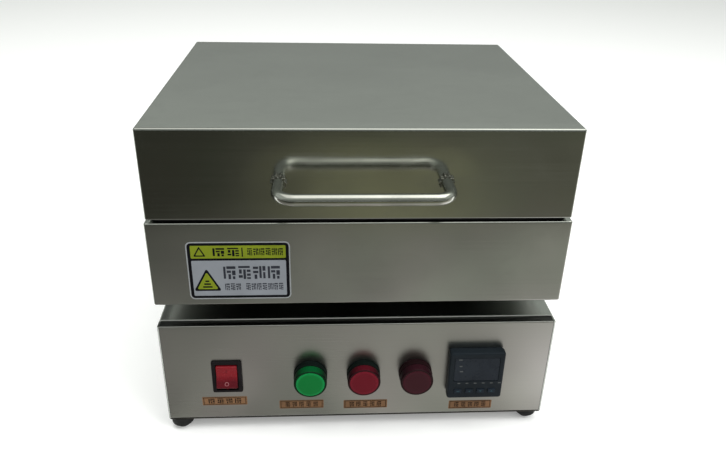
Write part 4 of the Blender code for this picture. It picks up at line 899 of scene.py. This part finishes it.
def lamp_cap(name):
    """The fluted lens, with a ring in a groove round its crowned face."""
    low, high, middle, (radius, _) = front_view(f"lamp_lens_{name}")
    back, front, slot = high.y, low.y, LENS_SLOTS[name]
    ring_in, ring_out, groove = 12.3 * MM, 13.6 * MM, front + 0.9 * MM
    profile = [
        (0, back), (radius - 0.6 * MM, back), (radius, back - 0.4 * MM, 1), (radius, front + 2.4 * MM, 1),
        (radius - 0.1 * MM, front + 1.5 * MM), (radius - 0.35 * MM, front + 1.0 * MM),
        (ring_out + 0.1 * MM, front + 0.75 * MM), (ring_out, groove), (ring_in, groove),
        (ring_in - 0.1 * MM, front + 0.55 * MM), (ring_in - 0.5 * MM, front + 0.35 * MM),
        (9 * MM, front + 0.15 * MM), (5 * MM, front + 0.04 * MM), (0, front),
    ]
    shape = new(turned, profile, "Y", middle, 96, False, 32, 0.3 * MM)
    piece(f"lamp_cap_{name}", shape, name, f"lamp_lens_{name}")
    inside, outside = ring_in + 0.05 * MM, ring_out - 0.05 * MM
    rear, crest, edge = groove - 0.02 * MM, front + 0.62 * MM, 0.15 * MM
    profile = [
        (inside, rear), (outside, rear), (outside, crest + edge),
        (outside - edge, crest), (inside + edge, crest), (inside, crest + edge),
    ]
    ring = new(turned, profile, "Y", middle, 96, True)
    piece(f"lamp_rim_{name}", ring, f"{name}_edge")


def switch():
    low, high, (x, z), half = front_view("switch_housing")
    edge = 0.9 * MM
    slices = ((0, FRONT - TOUCH), (0, low.y + edge), (edge * 0.3, low.y + edge * 0.3), (edge, low.y))
    bezel = stacked((x, z), half, 1.4 * MM, 0.6, slices)
    wide, tall, tab = 11 * MM, 15 * MM, (3.1 * MM, 0.4 * MM)
    body = new(block, (x - wide, x + wide), (FRONT - 1 * MM, FRONT + 24 * MM), (z - tall, z + tall))
    tabs = bmesh.new()
    for rise in (-9 * MM, 0, 9 * MM):
        heights = (z + rise - tab[1], z + rise + tab[1])
        block(tabs, (x - tab[0], x + tab[0]), (FRONT + 22 * MM, high.y), heights)
    housing = cut(cut(bezel, body, "UNION"), tabs, "UNION")
    well = new(tile, (x, z), (9.5 * MM, 13.8 * MM), 0.5 * MM, low.y - 1 * MM, FRONT + 19 * MM, 3)
    piece("switch_bezel", cut(housing, well), "black", "switch_housing", sharp=30)


def rocker():
    """The rocker, hollowed a little on both halves of its face, one with a bar and one with a ring."""
    joint = next(j for j in frame["joints"] if j["name"] == "power_rocker")
    move = Matrix.Translation(Vector(joint["pos_m"])) @ Matrix.Rotation(math.radians(-11), 4, "X")
    nose, valley, shoulder, heel_z, heel, round_end = (v * MM for v in (9.3, 7.3, 3, 5, 8, 13.4))
    half_x, dish = 9 * MM, 0.35 * MM
    nose_z, top_z = (math.sqrt(round_end**2 - v**2) for v in (nose, shoulder))

    def depth(share):
        return -valley - (nose - valley) * share + dish * math.sin(math.pi * share)

    upper = [(depth(i / 8), nose_z * i / 8) for i in range(8)]
    for i in range(7):
        b = nose_z + (top_z - nose_z) * i / 6
        upper.append((-math.sqrt(round_end**2 - b**2), b))
    upper.append((heel, heel_z))
    outline = upper + [(a, -b) for a, b in reversed(upper)][:-1]
    shape = new(prism, outline, "X", -half_x, half_x)
    bmesh.ops.transform(shape, matrix=move, verts=shape.verts)
    piece("rocker_cap", shape, "rocker", "rocker_button", 0.45 * MM, body="rocker")
    slope = math.atan2(nose - valley, nose_z)
    sunk, proud = -0.3 * MM, 0.12 * MM
    profile = [(r * MM, z) for r, z in ((1.25, sunk), (1.85, sunk), (1.85, proud), (1.25, proud))]
    ring = new(turned, profile, "Z", (0, 0), 32, True)
    bar = new(prism, rounded((0, 0), (0.4 * MM, 2.0 * MM), 0.3 * MM), "Z", sunk, proud)
    for name, mark, paint, way, share in (
        ("ring", ring, "rocker_print", -1, 0.66), ("bar", bar, "rocker_bar", 1, 0.62),
    ):
        lean = Matrix.Rotation(math.pi / 2 + way * slope, 4, "X")
        place = move @ Matrix.Translation((0, depth(share), way * nose_z * share)) @ lean
        bmesh.ops.transform(mark, matrix=place, verts=mark.verts)
        piece(f"rocker_mark_{name}", mark, paint, body="rocker")


def controller():
    low, high, (x, z), half = front_view("controller_case")
    face_y, reach = low.y, 22.3 * MM
    foot = ((1, 0.3), (1, 1.2), (0.2, 2.2), (0, 3))
    brow = ((0, 2.0), (0.25, 0.9), (0.8, 0.25), (1.5, 0))
    slices = [(inset * MM, FRONT - ahead * MM) for inset, ahead in foot]
    slices += [(inset * MM, face_y + back * MM) for inset, back in brow]
    case = stacked((x, z), half, 2.2 * MM, 0.6, slices)
    body = new(block, (x - reach, x + reach), (FRONT - 0.6 * MM, high.y), (z - reach, z + reach))
    _, pane_high, middle, size = front_view("controller_window")
    open_y = face_y - 1 * MM
    pockets = new(tile, middle, [v + TOUCH for v in size], 1.2 * MM, open_y, pane_high.y + TOUCH)
    for name in KEYS:
        _, key_high, key_middle, key_half = front_view(f"controller_key_{name}")
        tile(pockets, key_middle, [v + TOUCH for v in key_half], 1.0 * MM, open_y, key_high.y + 0.9 * MM)
    case = cut(cut(case, body, "UNION"), pockets)
    piece("controller_housing", case, "meter", "controller_case", sharp=30)
    pane = new(tile, middle, size, 1.0 * MM, face_y + 0.25 * MM, pane_high.y)
    piece("controller_pane", pane, "window", "controller_window", 0.2 * MM)
    marks = bmesh.new()
    pane_y, proud = face_y + 0.22 * MM, 0.1 * MM
    for across, up, wide, tall in ((-15.1, 17.8, 3.2, 1.0), (-14.4, 11.0, 2.6, 1.0), (-13.5, 5.2, 3.0, 1.0)):
        size = (wide / 2 * MM, tall / 2 * MM)
        tile(marks, (x + across * MM, z + up * MM), size, 0.3 * MM, pane_y - 0.05 * MM, pane_y + proud, 3)
    for i in range(6):
        spot = (x + (7.2 * i - 14.7) * MM, z - 7.6 * MM)
        tile(marks, spot, (1.3 * MM, 0.5 * MM), 0.3 * MM, face_y - 0.04 * MM, face_y + proud, 3)
    piece("controller_marks", marks, "print")
    for name in KEYS:
        controller_key(name)


# Outlines of the marks on the keys, in millimetres from the key's middle.
KEY_MARKS = {
    "set": [(-1.3, -0.5), (1.3, -0.5), (1.3, 0.5), (-1.3, 0.5)],
    "shift": [(-1.2, 0), (0.9, -1.1), (0.9, 1.1)],
    "down": [(0, -1.1), (1.2, 0.9), (-1.2, 0.9)],
    "up": [(0, 1.1), (-1.2, -0.9), (1.2, -0.9)],
}


def controller_key(name):
    low, high, middle, half = front_view(f"controller_key_{name}")
    slices = ((0, high.y), (0, low.y + 0.45 * MM), (0.12 * MM, low.y + 0.15 * MM), (0.5 * MM, low.y))
    key = stacked(middle, half, 0.8 * MM, 0.5, slices)
    body = f"key_{name}"
    piece(f"controller_pad_{name}", key, "key", f"controller_key_{name}", body=body)
    outline = [(middle[0] + a * MM, middle[1] + b * MM) for a, b in KEY_MARKS[name]]
    mark = new(prism, outline, "Y", low.y - 0.04 * MM, low.y + 0.1 * MM)
    piece(f"controller_pad_mark_{name}", mark, "teal_print", body=body)


# Labels, each a stack of thin films on a front face.
def film(shape, x, z, low, high, corner=0.0):
    """A film between two heights in front of the face, spanning x and z in millimetres."""
    middle = ((x[0] + x[1]) / 2 * MM, (z[0] + z[1]) / 2 * MM)
    half = ((x[1] - x[0]) / 2 * MM, (z[1] - z[0]) / 2 * MM)
    outline = rounded(middle, half, max(corner, 0.08) * MM, 4)
    prism(shape, outline, "Y", FRONT - high * MM, FRONT - low * MM)


def triangle(centre, side):
    """Outline of an upright triangle with blunt corners, a little taller than even-sided."""
    points = []
    radius, blunt, tall = side / math.sqrt(3), side * 0.05, 1.08
    for corner in range(3):
        way = math.pi / 2 + corner * 2 * math.pi / 3
        reach = radius - 2 * blunt
        for step in range(5):
            t = way - math.pi / 3 + step * math.pi / 6
            a = centre[0] + reach * math.cos(way) + blunt * math.cos(t)
            b = centre[1] + tall * (reach * math.sin(way) + blunt * math.sin(t))
            points.append((a * MM, b * MM))
    return points


# Groups of loose strokes, as shares of a cell (left, right, bottom, top). They stand for lettering.
STROKES = (
    (
        (0.00, 0.18, 0.04, 0.96), (0.26, 0.98, 0.78, 0.98), (0.26, 0.60, 0.48, 0.66),
        (0.38, 0.58, 0.00, 0.38), (0.68, 0.96, 0.30, 0.66), (0.72, 0.92, 0.00, 0.22),
    ),
    (
        (0.02, 0.94, 0.84, 1.00), (0.06, 0.28, 0.42, 0.74), (0.02, 0.34, 0.10, 0.30),
        (0.40, 0.60, 0.00, 0.74), (0.68, 0.98, 0.54, 0.72), (0.68, 0.98, 0.24, 0.42),
        (0.68, 0.98, 0.00, 0.14),
    ),
    (
        (0.00, 0.42, 0.76, 0.94), (0.00, 0.42, 0.44, 0.62), (0.10, 0.32, 0.00, 0.34),
        (0.50, 0.68, 0.06, 0.98), (0.76, 1.00, 0.62, 0.98), (0.80, 0.98, 0.04, 0.52),
    ),
)


def strokes(shape, left, bottom, wide, tall, pattern, heights):
    """A group of strokes in a cell given in millimetres."""
    for a, b, c, d in STROKES[pattern % len(STROKES)]:
        film(shape, (left + a * wide, left + b * wide), (bottom + c * tall, bottom + d * tall), *heights)


def caution_label():
    """A plain label: a coloured band over a pale field, with blank triangles and rows of strokes."""
    x0, x1, z0, z1 = -138.7, -56.8, 141.0, 193.9
    split = z1 - 15.8
    fields, printed = (0.17, 0.21), (0.20, 0.235)
    backing, border, band, field, marks, header, gold = (bmesh.new() for _ in range(7))
    film(backing, (x0, x1), (z0, z1), 0.02, 0.14, 4.0)
    film(border, (x0 + 1.0, x1 - 1.0), (z0 + 1.0, z1 - 1.0), 0.13, 0.18, 3.2)
    film(band, (x0 + 3.5, x1 - 3.5), (split + 1.0, z1 - 3.3), *fields, 1.0)
    film(field, (x0 + 3.5, x1 - 3.5), (z0 + 3.3, split - 1.0), *fields, 1.0)
    for centre, side in (((x0 + 14.8, z0 + 14.9), 22.4), ((x0 + 10.4, split + 5.8), 9.8)):
        inner = side - 2.2 - side / 7
        prism(header, triangle(centre, side), "Y", FRONT - 0.235 * MM, FRONT - 0.20 * MM)
        prism(gold, triangle(centre, inner), "Y", FRONT - 0.26 * MM, FRONT - 0.23 * MM)
    for i in range(3):
        wide = 7.6 - 2.2 * i
        left, low = x0 + 14.8 - wide / 2, z0 + 10.9 + 2.7 * i
        film(header, (left, left + wide), (low, low + 1.5), 0.255, 0.275, 0.4)
    film(header, (x0 + 43.6, x0 + 44.6), (split + 2.4, split + 10.6), *printed)
    # Rows of strokes: shape, left, bottom, pitch, width, height, count and first pattern.
    for shape, left, low, pitch, wide, tall, count, first in (
        (header, x0 + 21.0, split + 2.9, 11.4, 9.4, 7.6, 2, 0),
        (header, x0 + 48.0, split + 3.6, 4.85, 4.1, 6.4, 6, 1),
        (marks, x0 + 28.2, z0 + 18.8, 11.8, 10.0, 12.2, 4, 0),
        (marks, x0 + 28.8, z0 + 8.4, 4.4, 3.7, 6.4, 3, 3),
        (marks, x0 + 45.6, z0 + 8.4, 4.4, 3.7, 6.4, 7, 7),
    ):
        for i in range(count):
            strokes(shape, left + pitch * i, low, wide, tall, first + i, printed)
    for name, shape, paint, slot in (
        ("backing", backing, "vinyl", "white_plastic"), ("ink", border, "label_ink", "white_plastic"),
        ("header", band, "label_header", "white_plastic"), ("field", field, "label_field", "white_plastic"),
        ("header_marks", header, "label_ink", "black_plastic"),
        ("field_marks", marks, "field_ink", "black_plastic"),
        ("triangles", gold, "label_header", "white_plastic"),
    ):
        piece(f"oven_label_{name}", shape, paint)


def control_tags():
    films, ink = bmesh.new(), bmesh.new()
    printed = (0.095, 0.12)
    tags = ((-118.4, 33.5, 4), (-50.6, 27.9, 5), (6.8, 26.7, 5), (102.6, 23.6, 5))
    for tag, (x, z, marks) in enumerate(tags):
        film(films, (x - 19.7, x + 19.7), (z - 4.7, z + 4.7), 0.02, 0.10, 0.8)
        for side in (-1, 1):
            film(ink, (x + side * 18.4 - 0.3, x + side * 18.4 + 0.3), (z - 3.8, z + 3.8), *printed)
            film(ink, (x - 18.7, x + 18.7), (z + side * 3.8 - 0.3, z + side * 3.8 + 0.3), 0.095, 0.13)
        pitch = 31.0 / marks
        for i in range(marks):
            strokes(ink, x - 15.5 + i * pitch + 1.1, z - 2.8, pitch - 2.2, 5.6, i + tag, printed)
    piece("control_tags_film", films, "tag")
    piece("control_tags_ink", ink, "tag_ink")


# Underside and rear.
def feet():
    places = []
    neck, sole, bore, recess, seat = (v * MM for v in (5.2, 5.0, 2.3, 3.2, 6))
    for node in ("foot_front_left", "foot_front_right", "foot_rear_left", "foot_rear_right"):
        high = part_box(node)[1]
        x, y, _ = centre_of(node)
        radius = high.x - x
        profile = [
            (recess, 0.4 * MM), (recess + 0.4 * MM, 0), (sole - 0.3 * MM, 0), (sole + 0.2 * MM, 0.2 * MM),
            (radius - 0.35 * MM, neck - 0.5 * MM), (radius - 0.08 * MM, neck - 0.1 * MM),
            (radius, neck + 0.4 * MM), (radius, high.z - 0.5 * MM), (radius - 0.5 * MM, high.z),
            (bore, high.z), (bore, seat), (recess, seat),
        ]
        pad = new(turned, profile, "Z", (x, y), 40, ring=True)
        piece(f"{node}_pad", pad, "rubber", node)
        places.append((x, y, seat - TOUCH))
    screws("foot_screws", screw_head(2.9 * MM, 1.6 * MM), "-Z", places)


def power_inlet():
    low, _, (x, z), half = front_view("power_inlet")
    flange_y, ears, well_y = REAR + TOUCH, 20 * MM, REAR - 14 * MM
    flange = new(tile, (x, z), half, 5 * MM, flange_y, flange_y + 3 * MM)
    body = new(tile, (x, z), (13.6 * MM, 10.6 * MM), 2 * MM, low.y, REAR + 5 * MM)
    well = new(tile, (x, z), (11.8 * MM, 8.9 * MM), 1.5 * MM, well_y, REAR + 6 * MM)
    for side in (-1, 1):
        turned(well, [(1.8 * MM, REAR), (3.3 * MM, flange_y + 3.1 * MM)], "Y", (x + side * ears, z), 24)
    housing = cut(cut(flange, body, "UNION"), well)
    piece("inlet_housing", housing, "black", "power_inlet", 0.3 * MM)
    pins = bmesh.new()
    for across, up in ((-7, -3.5), (0, 0.5), (7, -3.5)):
        middle = (x + across * MM, z + up * MM)
        tile(pins, middle, (1 * MM, 2 * MM), 0.3 * MM, well_y - TOUCH, REAR + 1 * MM, 3)
    piece("inlet_pins", pins, "brass", edge=0.2 * MM)
    head = screw_head(3.0 * MM, 1.5 * MM, True)
    screws("inlet_screws", head, "+Y", [(x + side * ears, flange_y + 2.9 * MM, z) for side in (-1, 1)])


def fasteners():
    sunk = screw_head(3.4 * MM, 1.5 * MM, True)
    for name, side, facing in (("left", -1, "-X"), ("right", 1, "+X")):
        places = [(x - side * 0.12 * MM, y, z) for x, y, z in side_screws() if x * side > 0]
        screws(f"cover_screws_{name}", sunk, facing, places)
    pan = screw_head(3.2 * MM, 2.0 * MM)
    low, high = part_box("rear_panel")
    xs, zs = (-0.88, 0, 0.88), (low.z + 9 * MM, high.z - 9 * MM)
    screws("rear_panel_screws", pan, "+Y", [(x * high.x, REAR + 0.05 * MM, z) for x in xs for z in zs])
    low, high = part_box("bottom_plate")
    xs, ys = (-100 * MM, 100 * MM), (low.y + 10 * MM, high.y - 10 * MM)
    screws("bottom_plate_screws", pan, "-Z", [(x, y, low.z - 0.05 * MM) for x in xs for y in ys])
    for part, body, way in (("body", "base", 1), ("lid", "lid", -1)):
        places = []
        for side in SIDES:
            low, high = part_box(f"hinge_{part}_leaf_{side}")
            x = centre_of(f"hinge_pin_{side}").x
            z = (low.z if way > 0 else high.z) + way * 12 * MM
            places += [(x + across * MM, REAR + TOUCH + 2.05 * MM, z) for across in (-19, 0, 19)]
        screws(f"hinge_screws_{part}", pan, "+Y", places, body)


def carried_over():
    """Finishes for the CAD nodes that stay, each with the width of its rounded edges in millimetres."""
    ends = [f"{end}_{side}" for end in ("front", "rear") for side in SIDES]
    for paint, edge, nodes in (
        ("cover", 0.2, ["rear_panel"]),
        ("base_plate", 0.2, ["bottom_plate"]),
        ("dull", 0.3, [f"hinge_{part}_leaf_{side}" for part in ("body", "lid") for side in SIDES]),
        ("bright", 0.3, ["hinge_pin_left", "hinge_pin_right"]),
        ("dull", 0.4, [f"standoff_{end}" for end in ends]),
        ("dull", 0.3, ["wire_conduit"]),
        ("fibre", 0.5, ["oven_insulation", "lid_insulation"]),
        ("sheath", 0, ["heating_element", "thermocouple"]),
        ("ceramic", 0.3, ["feed_through"]),
        ("red_lead", 0, ["heater_lead_live"]),
        ("blue_lead", 0, ["heater_lead_neutral"]),
        ("rubber", 0, ["mains_lead", "control_lead"]),
        ("plate", 0.2, ["relay_heatsink"]),
        ("white", 0.4, ["solid_state_relay"]),
        ("white", 0.3, [f"lamp_nut_{name}" for name in LAMPS]),
        ("screw", 0.3, ["handle_nut_left", "handle_nut_right"]),
        ("black", 0.3, ["terminal_block"]),
    ):
        dress(paint, edge * MM, *nodes)


camera()
studio()
heated_boxes()
panel_sheet()
cover_sheet()
lid_seal()
heated_plate()
handle()
for lamp in LAMPS:
    lamp_collar(lamp)
    lamp_cap(lamp)
switch()
rocker()
controller()
caution_label()
control_tags()
feet()
power_inlet()
fasteners()
carried_over()
